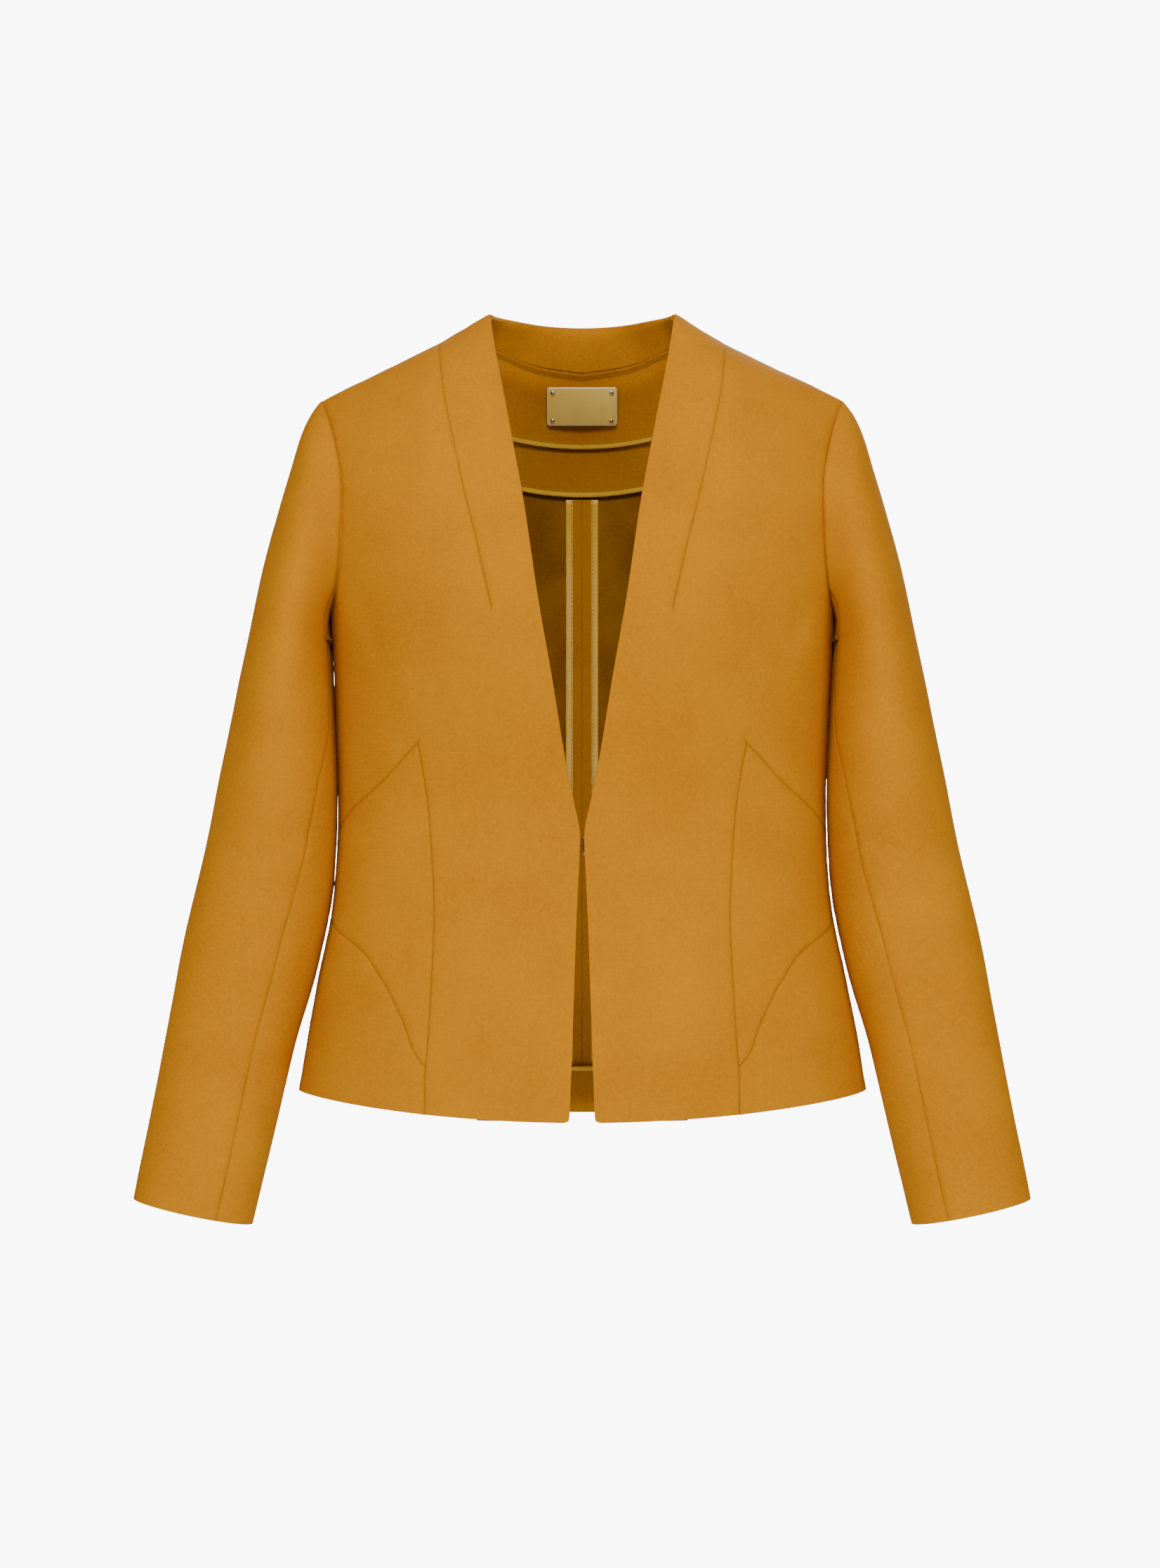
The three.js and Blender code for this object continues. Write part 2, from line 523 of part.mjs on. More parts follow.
// ---- inside of the back: facings, bindings and the pressed-open centre seam ----
function addBackInside() {
  const yokeLayer = cloth + innerGap;
  const facingLayer = yokeLayer + facingCloth + layerGap + 0.8;
  const yokeFoot = (x) => -yokeDepth + 5 * (x / 50) ** 2;
  const facingFoot = (x) => -neckFacingDepth + 6 * (x / 56) ** 2;
  const neckTop = (x) => backNeck(Math.abs(x)) - 3;
  const yokeHalf = collarSeamHalf - 6;
  const facingHalf = collarSeamHalf - 18;
  add('back_yoke_facing', backStrip(-yokeHalf, yokeHalf, neckTop, yokeFoot, 16, 8, yokeLayer,
    yokeLayer + facingCloth), liningMaterial());
  add('yoke_binding', backStrip(-yokeHalf, yokeHalf, yokeFoot, (x) => yokeFoot(x) - bindingWidth, 16, 1,
    yokeLayer, yokeLayer + bindingThick), bindingMaterial());
  add('back_neck_facing', backStrip(-facingHalf, facingHalf, neckTop, facingFoot, 12, 4, facingLayer,
    facingLayer + facingCloth), clothMaterial());
  add('neck_facing_binding', backStrip(-facingHalf, facingHalf, facingFoot,
    (x) => facingFoot(x) - bindingWidth, 12, 1, facingLayer, facingLayer + bindingThick), bindingMaterial());
  const seamTop = () => -yokeDepth - bindingWidth - 2;
  const hemTurn = 33;
  const seamFoot = () => -bodyLength - hemDropBack + 4;
  for (const [name, side] of Object.entries(sides)) {
    const flat = [0.4, seamAllowance].map((x) => side * x).sort((a, b) => a - b);
    add(`${name}_centre_seam_allowance`, backStrip(...flat, seamTop, seamFoot, 1, 10,
      yokeLayer, yokeLayer + 1.1), clothMaterial());
    const bound = [seamAllowance, seamAllowance + bindingWidth].map((x) => side * x).sort((a, b) => a - b);
    add(`${name}_centre_seam_binding`, backStrip(...bound, seamTop, seamFoot, 1, 10,
      yokeLayer, yokeLayer + 1.6), bindingMaterial());
  }
  const hemHalfInside = 0.9 * Math.PI / 2;
  const hemLayer = yokeLayer + 1.6 + layerGap;
  const alongHem = (raise) => (t) => {
    const around = mix(-hemHalfInside, hemHalfInside, t);
    return [around, hemBack(around) + raise];
  };
  const upHem = (around, high, low) => (t) => [around, hemBack(around) + mix(high, low, t)];
  const hemPiece = (high, low, depth, thick) => sheetGeometry([grid(alongHem(high), alongHem(low),
    upHem(-hemHalfInside, high, low), upHem(hemHalfInside, high, low), 20, 1)],
  backSurface, bodyCore, depth, depth + thick);
  add('back_hem_facing', hemPiece(hemTurn, 2, hemLayer, facingCloth), liningMaterial());
  add('back_hem_binding', hemPiece(hemTurn + bindingWidth, hemTurn, hemLayer, bindingThick),
    bindingMaterial());
  return facingLayer + facingCloth;
}

// ---- stand collar round the back of the neck ----
const neckBaseGap = 0.7;
// around -90..90 degrees from centre back; up 0 at the neck seam, 1 at the top edge.
function collarPoint(around, up) {
  const x = collarSeamHalf * Math.sin(around);
  const seam = backSurface(aroundAt(x, backNeck(Math.abs(x))), backNeck(Math.abs(x)));
  const topX = (neckHalf - 2) * Math.sin(around);
  const topZ = -backNeckDrop + collarStand + backNeckDrop * 0.11 * (Math.abs(topX) / neckHalf) ** 2;
  const topY = Math.max(seam.y - 9 * Math.cos(around), 0);
  const rise = up * (1 + neckBaseGap / collarStand);
  return new THREE.Vector3(mix(seam.x, topX, rise), mix(seam.y, topY, rise),
    mix(seam.z, topZ, rise) + neckBaseGap);
}

function addCollar() {
  const reach = 0.86 * Math.PI / 2;
  const surface = (p, q) => collarPoint(p, q / 100);
  const core = (p, q) => new THREE.Vector3(0, -20, -20);
  const band = (low, high) => grid((t) => [mix(-reach, reach, t), high], (t) => [mix(-reach, reach, t), low],
    (t) => [-reach, mix(high, low, t)], (t) => [reach, mix(high, low, t)], 14, 2);
  add('back_collar', sheetGeometry([band(0, 98)], surface, core, 0, cloth, { gap: 0.1 }), clothMaterial());
  add('back_collar_facing', sheetGeometry([band(6, 96)], surface, core, cloth + layerGap,
    cloth + layerGap + facingCloth, { gap: 0.1 }), clothMaterial());
}

// ---- riveted plate on the back neck facing ----
function addPlate(layerDepth) {
  const z = -plateLevel;
  const normal = outward(backSurface, bodyCore, 0, z);
  normal.x = 0;
  normal.normalize();
  const settle = 4;
  const centre = backSurface(0, z).addScaledVector(normal, -(layerDepth + settle + plateThick / 2));
  const frame = new THREE.Group();
  frame.position.copy(centre);
  const across = new THREE.Vector3(1, 0, 0);
  const up = new THREE.Vector3().crossVectors(across, normal);
  frame.quaternion.setFromRotationMatrix(new THREE.Matrix4().makeBasis(across, up, normal.clone().negate()));
  jacket.add(frame);
  const corner = 2;
  const outline = new THREE.Shape();
  const [w, h] = [plateWidth / 2, plateHeight / 2];
  outline.moveTo(-w + corner, -h);
  outline.lineTo(w - corner, -h).absarc(w - corner, -h + corner, corner, -Math.PI / 2, 0);
  outline.lineTo(w, h - corner).absarc(w - corner, h - corner, corner, 0, Math.PI / 2);
  outline.lineTo(-w + corner, h).absarc(-w + corner, h - corner, corner, Math.PI / 2, Math.PI);
  outline.lineTo(-w, -h + corner).absarc(-w + corner, -h + corner, corner, Math.PI, 1.5 * Math.PI);
  const plate = new THREE.Mesh(new THREE.ExtrudeGeometry(outline,
    { depth: plateThick, bevelEnabled: false, curveSegments: 3 }), plateMaterial());
  plate.name = 'label_plate';
  plate.position.z = -plateThick / 2;
  frame.add(plate);
  let count = 0;
  for (const cx of [-1, 1]) {
    for (const cy of [-1, 1]) {
      count += 1;
      const dome = new THREE.LatheGeometry([[0, 0], [rivetRadius, 0], [rivetRadius, 0.4],
        [0.7 * rivetRadius, 1], [0, rivetHeight]].map((p) => new THREE.Vector2(...p)), 8);
      const rivet = new THREE.Mesh(dome, wireMaterial());
      rivet.name = `plate_rivet_${count}`;
      rivet.rotation.x = Math.PI / 2;
      rivet.position.set(cx * (w - rivetInset), cy * (h - rivetInset), plateThick / 2 + 0.3);
      frame.add(rivet);
    }
  }
}

// ---- hook and eye ----
function addHookAndEye() {
  const z = -hookLevel - eyeHeight / 2 + 1;
  const inside = frontSurface(0, z).y + cloth + innerGap + facingCloth + wireRadius + 1.2;
  const section = new THREE.Shape();
  section.absarc(0, 0, wireRadius, 0, 2 * Math.PI);
  const loop = (side, tip, height) => {
    const path = new THREE.CurvePath();
    const half = height / 2 - wireRadius;
    const point = (x, dz) => new THREE.Vector3(side * x, inside, z + dz);
    const bend = 2;
    const line = (a, b) => path.add(new THREE.LineCurve3(a, b));
    const turn = (a, b, c) => path.add(new THREE.QuadraticBezierCurve3(a, b, c));
    line(point(tip + hookReach, half), point(tip + bend, half));
    turn(point(tip + bend, half), point(tip, half), point(tip, half - bend));
    line(point(tip, half - bend), point(tip, -half + bend));
    turn(point(tip, -half + bend), point(tip, -half), point(tip + bend, -half));
    line(point(tip + bend, -half), point(tip + hookReach, -half));
    return new THREE.ExtrudeGeometry(section,
      { steps: 16, extrudePath: path, curveSegments: 3, bevelEnabled: false });
  };
  add('front_eye', loop(sides.left, 0.2, eyeHeight), wireMaterial());
  add('front_hook', loop(sides.right, 0.2 + 2 * wireRadius + 0.6, hookHeight), wireMaterial());
}

// ---- sleeves ----
// Stations down the sleeve: outer point, inner point, half depth and how far forward.
const sleeveStations = (() => {
  const innerAt = (z, hang) => [Math.max(halfWidth(z), z < -armholeDepth ? 0 : chestHalf) + hang, z];
  const cap = [[0, 0, 1], [9, -11, 4], [16, -26, 7], [24, -52, 10], [33, -81, 14], [44, -124, 18]];
  const depthCap = profile([[0, upperArmHalfDepth - 17], [2, upperArmHalfDepth - 10],
    [4, upperArmHalfDepth - 4], [6, upperArmHalfDepth]]);
  const list = cap.map(([dx, dz, dip], i) => ({
    out: [shoulderHalf + dx, -shoulderDrop + dz],
    in: innerAt(-armholeDepth - dip + 2, sleeveClearance),
    depth: depthCap(i),
    forward: 0,
  }));
  list[0].out = [shoulderHalf + 0.8, -shoulderDrop];
  const start = -armholeDepth - 22;
  const down = [[0, upperArmWidth, 0], [0.128, 76, 0], [0.258, 87, 2], [0.412, elbowWidth, 1],
    [0.558, elbowWidth + 1.5, 2.6], [0.7, elbowWidth - 3, 7], [0.85, (elbowWidth + cuffWidth) / 2 - 2, 13],
    [1, cuffWidth, 28]];
  const depthDown = profile([[0, upperArmHalfDepth], [0.128, upperArmHalfDepth - 2],
    [0.258, upperArmHalfDepth - 8], [0.412, elbowHalfDepth + 3], [0.6, elbowHalfDepth - 2],
    [1, cuffHalfDepth]]);
  for (const [share, width, hang] of down) {
    const z = mix(start, -sleeveEnd, share);
    const inner = innerAt(z, sleeveClearance + hang);
    list.push({
      out: [inner[0] + width * Math.cos(sleeveLean), inner[1] + width * Math.sin(sleeveLean)],
      in: inner,
      depth: depthDown(share),
      forward: cuffForward * share ** 1.6,
    });
  }
  return list;
})();
const lastStation = sleeveStations.length - 1;
const elbowStation = 9;
const stationValue = (read) => profile(sleeveStations.map((s, i) => [i, read(s)]));
const outX = stationValue((s) => s.out[0]);
const outZ = stationValue((s) => s.out[1]);
const inX = stationValue((s) => s.in[0]);
const inZ = stationValue((s) => s.in[1]);
const halfDepthAt = stationValue((s) => s.depth);
const forwardAt = stationValue((s) => s.forward);

// The armhole's seam as a loop, theta 0 at the shoulder point, 90 degrees at the front.
function armholeLoop(theta) {
  const z = mix(-shoulderDrop, -armholeDepth, (1 - Math.cos(theta)) / 2);
  const back = Math.sin(theta) < 0;
  const x = (back ? armholeBack : armholeFront)(z);
  return bodyPoint(back, aroundAt(x, z), z);
}

// Wearer's left sleeve; station runs 0 at the armhole to lastStation at the cuff.
function sleevePoint(theta, station) {
  const s = Math.min(Math.max(station, 0), lastStation);
  const ellipse = (k) => new THREE.Vector3(
    mix(inX(k), outX(k), (1 + Math.cos(theta)) / 2),
    -forwardAt(k) - halfDepthAt(k) * Math.sin(theta),
    mix(inZ(k), outZ(k), (1 + Math.cos(theta)) / 2),
  );
  const point = ellipse(s);
  const fade = Math.max(1 - s / 5, 0) ** 2;
  if (fade > 0) {
    const loop = armholeLoop(theta);
    loop.x += sleeveClearance / 2;
    point.addScaledVector(loop.sub(ellipse(0)), fade);
  }
  if (station > lastStation) {
    const run = sleevePoint(theta, lastStation).sub(sleevePoint(theta, lastStation - 0.1));
    point.addScaledVector(run, (station - lastStation) * 10);
  }
  return point;
}
// Where the two sleeve seams lie round the sleeve, in degrees, against the station.
const frontSleeveSeam = profile([[0, 138], [4, 150], [6, 163], [7, 158], [7.8, 138], [8.8, 124], [9.8, 116],
  [13, 117]]);
const backSleeveSeam = profile([[0, -135], [6, -135], [9, -125], [13, -117]]);

function addSleeve(name, side) {
  const mirrored = (p) => new THREE.Vector3(side * p.x, p.y, p.z);
  const surface = (p, q) => mirrored(sleevePoint(p, q));
  const core = (p, q) => mirrored(sleevePoint(0, q).add(sleevePoint(Math.PI, q)).multiplyScalar(0.5));
  const frontSeam = (s) => radians(frontSleeveSeam(s));
  const backSeam = (s) => radians(backSleeveSeam(s));
  const part = (from, to, low, high, across, down) => sheetGeometry([grid(
    (t) => [mix(low(from), high(from), t), from], (t) => [mix(low(to), high(to), t), to],
    (t) => [low(mix(from, to, t)), mix(from, to, t)], (t) => [high(mix(from, to, t)), mix(from, to, t)],
    across, down)], surface, core, 0, cloth);
  const top = [backSeam, frontSeam];
  const under = [frontSeam, (s) => backSeam(s) + 2 * Math.PI];
  const end = lastStation;
  add(`${name}_top_sleeve_upper`, part(0, elbowStation, ...top, 11, 9), clothMaterial());
  add(`${name}_under_sleeve_upper`, part(0, elbowStation, ...under, 5, 9), clothMaterial());
  add(`${name}_top_sleeve_lower`, part(elbowStation, end, ...top, 11, 4), clothMaterial());
  add(`${name}_under_sleeve_lower`, part(elbowStation, end, ...under, 7, 4), clothMaterial());

  // cuff facing, a ring inside the cuff
  const ringTop = end - cuffFacingDepth / (sleeveEnd * 0.15 * 0.94 * 0.68);
  const ring = [];
  for (const q of [ringTop, (ringTop + end) / 2, end - 0.04]) {
    ring.push(Array.from({ length: 22 }, (_, i) => [2 * Math.PI * i / 22, q]));
  }
  add(`${name}_cuff_facing`, sheetGeometry([ring], surface, core, cloth + innerGap,
    cloth + innerGap + facingCloth, { gap: 0, closed: true }), liningMaterial());

  // wadding that rolls the sleeve cap
  const head = grid((t) => [mix(-0.85, 0.85, t), 0.35], (t) => [mix(-0.6, 0.6, t), 2.4],
    (t) => [mix(-0.85, -0.6, t), mix(0.35, 2.4, t)], (t) => [mix(0.85, 0.6, t), mix(0.35, 2.4, t)], 8, 3);
  add(`${name}_sleeve_head`, sheetGeometry([head], surface, core, cloth + innerGap,
    cloth + innerGap + 3), paddingMaterial());
}

// ---- shoulder pads ----
// How low the body's surface is at x, y near the shoulder.
function levelAt(x, y) {
  let high = shoulderLine(x);
  let low = high - shoulderRoll;
  for (let i = 0; i < 24; i += 1) {
    const z = (low + high) / 2;
    if (Math.abs(bodyPoint(y > 0, aroundAt(x, z), z).y) < Math.abs(y)) high = z;
    else low = z;
  }
  return low;
}

function addPad(name, side) {
  const across = [-1, -0.72, -padFlatShare, 0, padFlatShare, 0.72, 1];
  const along = 6;
  const under = cloth + innerGap;
  const vertices = [];
  const columns = across.length;
  const lid = (x, y) => levelAt(x, Math.sign(y || 1) * (Math.abs(y) + under)) - under;
  for (const bottom of [false, true]) {
    for (let i = 0; i <= along; i += 1) {
      const x = mix(padInner, padOuter, i / along);
      const z0 = shoulderLine(x);
      const half = Math.min(padHalfDepth, padReach * depthFront(z0) * Math.cos(aroundAt(x, z0)));
      const flat = mix(shoulderLine(padInner), shoulderLine(padOuter), i / along) - under - padThick;
      for (const w of across) {
        const top = lid(x, w * half);
        vertices.push(side * x, w * half, bottom ? Math.min(flat, top - 1.5) : top);
      }
    }
  }
  const faces = [];
  const n = columns * (along + 1);
  const id = (i, j, low) => i * columns + j + (low ? n : 0);
  const quad = (a, b, c, d) => faces.push(a, b, c, a, c, d);
  for (let i = 0; i < along; i += 1) {
    for (let j = 0; j + 1 < columns; j += 1) {
      quad(id(i, j), id(i + 1, j), id(i + 1, j + 1), id(i, j + 1));
      quad(id(i, j, true), id(i, j + 1, true), id(i + 1, j + 1, true), id(i + 1, j, true));
    }
    quad(id(i, 0), id(i, 0, true), id(i + 1, 0, true), id(i + 1, 0));
    quad(id(i, columns - 1), id(i + 1, columns - 1), id(i + 1, columns - 1, true), id(i, columns - 1, true));
  }
  for (let j = 0; j + 1 < columns; j += 1) {
    quad(id(0, j), id(0, j + 1), id(0, j + 1, true), id(0, j, true));
    quad(id(along, j), id(along, j, true), id(along, j + 1, true), id(along, j + 1));
  }
  add(`${name}_shoulder_pad`, solid(vertices, faces), paddingMaterial());
}

for (const [name, side] of Object.entries(sides)) {
  addFront(name, side);
  addBack(name, side);
  addSleeve(name, side);
  addPad(name, side);
}
addPlate(addBackInside());
addCollar();
addHookAndEye();

export default jacket;
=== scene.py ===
import math
from bisect import bisect_right

import bmesh
import bpy
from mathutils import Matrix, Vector, kdtree, noise


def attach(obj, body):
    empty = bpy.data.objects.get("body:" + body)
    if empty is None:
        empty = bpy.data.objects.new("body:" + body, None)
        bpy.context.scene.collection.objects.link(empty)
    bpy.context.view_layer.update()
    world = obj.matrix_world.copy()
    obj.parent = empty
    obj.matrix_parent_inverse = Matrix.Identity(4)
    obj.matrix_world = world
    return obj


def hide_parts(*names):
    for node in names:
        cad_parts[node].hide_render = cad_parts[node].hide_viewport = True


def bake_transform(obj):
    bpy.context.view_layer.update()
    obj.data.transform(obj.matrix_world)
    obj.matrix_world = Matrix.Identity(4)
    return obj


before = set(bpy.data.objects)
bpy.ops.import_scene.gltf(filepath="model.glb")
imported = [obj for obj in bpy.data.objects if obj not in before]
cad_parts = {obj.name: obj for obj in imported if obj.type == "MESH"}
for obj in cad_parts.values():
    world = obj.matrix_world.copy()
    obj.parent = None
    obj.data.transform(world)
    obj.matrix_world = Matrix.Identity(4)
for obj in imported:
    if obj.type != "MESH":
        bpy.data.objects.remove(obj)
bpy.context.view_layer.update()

mm = 0.001

camera = {"distance": 3.0, "frameWidth": 0.8756, "x": -0.0016, "z": -0.355, "sensor": 36.0}


def addCamera():
    data = bpy.data.cameras.new("camera")
    data.sensor_fit = "HORIZONTAL"
    data.sensor_width = camera["sensor"]
    data.lens = camera["sensor"] * camera["distance"] / camera["frameWidth"]
    data.clip_end = 30
    obj = bpy.data.objects.new("camera", data)
    obj.location = (camera["x"], -camera["distance"], camera["z"])
    obj.rotation_euler = (math.radians(90), 0, 0)
    bpy.context.collection.objects.link(obj)
    bpy.context.scene.camera = obj


addCamera()
print("camera placed")


def toLinear(hexValue):
    channels = [int(hexValue[i:i + 2], 16) / 255 for i in (1, 3, 5)]
    return [c / 12.92 if c <= 0.04045 else ((c + 0.055) / 1.055) ** 2.4 for c in channels] + [1]


def addNode(tree, kind, settings=None, links=None):
    # one node, its own settings and socket values, and the sockets that feed it
    node = tree.nodes.new(kind)
    for key, value in (settings or {}).items():
        if hasattr(node, key):
            setattr(node, key, value)
        else:
            node.inputs[key].default_value = value
    for key, source in (links or {}).items():
        tree.links.new(source, node.inputs[key])
    return node


def newMaterial(name, settings):
    material = bpy.data.materials.new(name)
    material.use_nodes = True
    tree = material.node_tree
    shader = tree.nodes["Principled BSDF"]
    for key, value in settings.items():
        shader.inputs[key].default_value = value
    return material, tree, shader


floor = {"level": -1.25, "radius": 1.25, "colour": "#fbfbfa"}


def addFloor():
    # a pale round floor below the hanging jacket
    bpy.ops.mesh.primitive_circle_add(vertices=96, radius=floor["radius"], fill_type="NGON",
                                      location=(0, 0, floor["level"]))
    obj = bpy.context.object
    obj.name = "floor"
    obj.data.name = "floor"
    material, tree, shader = newMaterial("studioPaper", {"Roughness": 0.9})
    place = addNode(tree, "ShaderNodeTexCoord")
    grain = addNode(tree, "ShaderNodeTexNoise", {"Scale": 400, "Detail": 3}, {"Vector": place.outputs["Object"]})
    tone = addNode(tree, "ShaderNodeMix", {"data_type": "RGBA"}, {"Factor": grain.outputs["Fac"]})
    tone.inputs["A"].default_value = toLinear(floor["colour"])
    tone.inputs["B"].default_value = toLinear("#f6f6f5")
    tree.links.new(tone.outputs["Result"], shader.inputs["Base Color"])
    obj.data.materials.append(material)


addFloor()

light = {
    "key": {"place": (-1.9, -2.5, 0.1), "aim": (0, 0, -0.4), "size": 1.5, "power": 36},
    "fill": {"place": (2.0, -2.4, 0.0), "aim": (0, 0, -0.4), "size": 1.5, "power": 38},
    "front": {"place": (0, -2.3, 1.7), "aim": (0, 0, -0.1), "size": 0.8, "power": 62},
    "back": {"place": (0.4, 2.3, 1.1), "aim": (0, 0, -0.33), "size": 1.4, "power": 62},
    "world": 0.3, "backdrop": 9,
}


def addLights():
    for name in ("key", "fill", "front", "back"):
        data = bpy.data.lights.new(name, "AREA")
        data.shape = "DISK"
        data.size = light[name]["size"]
        data.energy = light[name]["power"]
        obj = bpy.data.objects.new(name, data)
        obj.location = light[name]["place"]
        obj.rotation_euler = (Vector(light[name]["aim"]) - obj.location).to_track_quat("-Z", "Y").to_euler()
        bpy.context.collection.objects.link(obj)
    world = bpy.data.worlds.new("studio")
    bpy.context.scene.world = world
    world.use_nodes = True
    background = world.node_tree.nodes["Background"]
    background.inputs["Color"].default_value = (1, 1, 1, 1)
    # a white backdrop to the eye, and a soft fill to the jacket
    path = addNode(world.node_tree, "ShaderNodeLightPath")
    strength = addNode(world.node_tree, "ShaderNodeMapRange", {"To Min": light["world"], "To Max": light["backdrop"]},
                       {"Value": path.outputs["Is Camera Ray"]})
    world.node_tree.links.new(strength.outputs["Result"], background.inputs["Strength"])


addLights()
print("floor and light placed")

cloth = {
    # seam is the colour of the painted shade laid along the seams
    "colour": "#c97f00", "dark": "#ac6800", "seam": "#7a4c00",
    "threadSpacing": 1.1,       # mm; the real yarns are about 0.4 mm, too fine to show
    "mottle": 2.4, "cloud": 60,
}


def bands(spacing):
    # a wave texture's scale for bands this many mm apart
    return 314 / spacing


def crepeCloth(name, colour, dark, sheen):
    # wool crepe, woven and pressed: matt, a fine pebbled grain and a soft bloom at grazing angles
    material, tree, shader = newMaterial(name, {
        "Roughness": 0.86, "Sheen Weight": sheen, "Sheen Roughness": 0.45,
        "Sheen Tint": toLinear("#e8a020"), "Specular IOR Level": 0.12,
    })
    place = addNode(tree, "ShaderNodeTexCoord")
    uv = place.outputs["UV"]
    solid = place.outputs["Object"]
    cloud = addNode(tree, "ShaderNodeTexNoise", {"Scale": 1000 / cloth["cloud"], "Detail": 3}, {"Vector": solid})
    mottle = addNode(tree, "ShaderNodeTexNoise", {"Scale": 1000 / cloth["mottle"], "Detail": 4, "Roughness": 0.7},
                     {"Vector": solid})
    weft = addNode(tree, "ShaderNodeTexWave", {"bands_direction": "X", "Scale": bands(cloth["threadSpacing"]),
                                               "Distortion": 1.6, "Detail": 2, "Detail Scale": 3}, {"Vector": uv})
    warp = addNode(tree, "ShaderNodeTexWave", {"bands_direction": "Y", "Scale": bands(cloth["threadSpacing"]),
                                               "Distortion": 1.6, "Detail": 2, "Detail Scale": 3}, {"Vector": uv})
    weave = addNode(tree, "ShaderNodeMath", {"operation": "MULTIPLY"})
    tree.links.new(weft.outputs["Fac"], weave.inputs[0])
    tree.links.new(warp.outputs["Fac"], weave.inputs[1])
    grain = addNode(tree, "ShaderNodeMath", {"operation": "MULTIPLY_ADD"})
    tree.links.new(weave.outputs[0], grain.inputs[0])
    grain.inputs[1].default_value = 0.45
    tree.links.new(mottle.outputs["Fac"], grain.inputs[2])
    tone = addNode(tree, "ShaderNodeMapRange", {"From Min": 0.3, "From Max": 1.0, "To Min": 0.0, "To Max": 1.0},
                   {"Value": grain.outputs[0]})
    base = addNode(tree, "ShaderNodeMix", {"data_type": "RGBA"}, {"Factor": tone.outputs["Result"]})
    base.inputs["A"].default_value = toLinear(dark)
    base.inputs["B"].default_value = toLinear(colour)
    wear = addNode(tree, "ShaderNodeMapRange", {"From Min": 0.35, "From Max": 0.7, "To Min": 0.0, "To Max": 0.22},
                   {"Value": cloud.outputs["Fac"]})
    lighter = addNode(tree, "ShaderNodeMix", {"data_type": "RGBA", "blend_type": "MIX"},
                      {"Factor": wear.outputs["Result"], "A": base.outputs["Result"]})
    lighter.inputs["B"].default_value = toLinear("#d89600")
    # painted shade: the base colour darkens towards the seam colour along seams, as much as the seamShade attribute
    # says
    seam = addNode(tree, "ShaderNodeAttribute", {"attribute_name": "seamShade"})
    paintedSeamShade = addNode(tree, "ShaderNodeMix", {"data_type": "RGBA"},
                   {"Factor": seam.outputs["Fac"], "A": lighter.outputs["Result"]})
    paintedSeamShade.inputs["B"].default_value = toLinear(cloth["seam"])
    tree.links.new(paintedSeamShade.outputs["Result"], shader.inputs["Base Color"])
    bump = addNode(tree, "ShaderNodeBump", {"Strength": 0.35, "Distance": 0.0006}, {"Height": grain.outputs[0]})
    tree.links.new(bump.outputs["Normal"], shader.inputs["Normal"])
    rough = addNode(tree, "ShaderNodeMapRange", {"To Min": 0.8, "To Max": 0.93}, {"Value": mottle.outputs["Fac"]})
    tree.links.new(rough.outputs["Result"], shader.inputs["Roughness"])
    return material


def satinBinding():
    # bias strip of polyester satin, folded and stitched: long floats along the strip catch the light
    material, tree, shader = newMaterial("satinBinding", {
        "Roughness": 0.42, "Sheen Weight": 0.25, "Sheen Tint": toLinear("#ffe08a"), "Specular IOR Level": 0.5,
        "Anisotropic": 0.35,
    })
    place = addNode(tree, "ShaderNodeTexCoord")
    threads = addNode(tree, "ShaderNodeTexWave", {"bands_direction": "DIAGONAL", "Scale": bands(0.9),
                                                  "Distortion": 2.0, "Detail": 2}, {"Vector": place.outputs["UV"]})
    cloud = addNode(tree, "ShaderNodeTexNoise", {"Scale": 90, "Detail": 3}, {"Vector": place.outputs["Object"]})
    both = addNode(tree, "ShaderNodeMath", {"operation": "MULTIPLY"})
    tree.links.new(threads.outputs["Fac"], both.inputs[0])
    tree.links.new(cloud.outputs["Fac"], both.inputs[1])
    base = addNode(tree, "ShaderNodeMix", {"data_type": "RGBA"}, {"Factor": both.outputs[0]})
    base.inputs["A"].default_value = toLinear("#dfa414")
    base.inputs["B"].default_value = toLinear("#f8d040")
    tree.links.new(base.outputs["Result"], shader.inputs["Base Color"])
    bump = addNode(tree, "ShaderNodeBump", {"Strength": 0.3, "Distance": 0.0004}, {"Height": threads.outputs["Fac"]})
    tree.links.new(bump.outputs["Normal"], shader.inputs["Normal"])
    return material


def sewingThread():
    # spun polyester thread, twisted: small dull highlights, plies 0.4 mm apart
    material, tree, shader = newMaterial("sewingThread", {"Roughness": 0.6, "Sheen Weight": 0.2})
    place = addNode(tree, "ShaderNodeTexCoord")
    plies = addNode(tree, "ShaderNodeTexWave", {"bands_direction": "DIAGONAL", "Scale": bands(0.4)},
                    {"Vector": place.outputs["Object"]})
    base = addNode(tree, "ShaderNodeMix", {"data_type": "RGBA"}, {"Factor": plies.outputs["Fac"]})
    base.inputs["A"].default_value = toLinear("#a06d0c")
    base.inputs["B"].default_value = toLinear("#d3a02a")
    tree.links.new(base.outputs["Result"], shader.inputs["Base Color"])
    return material


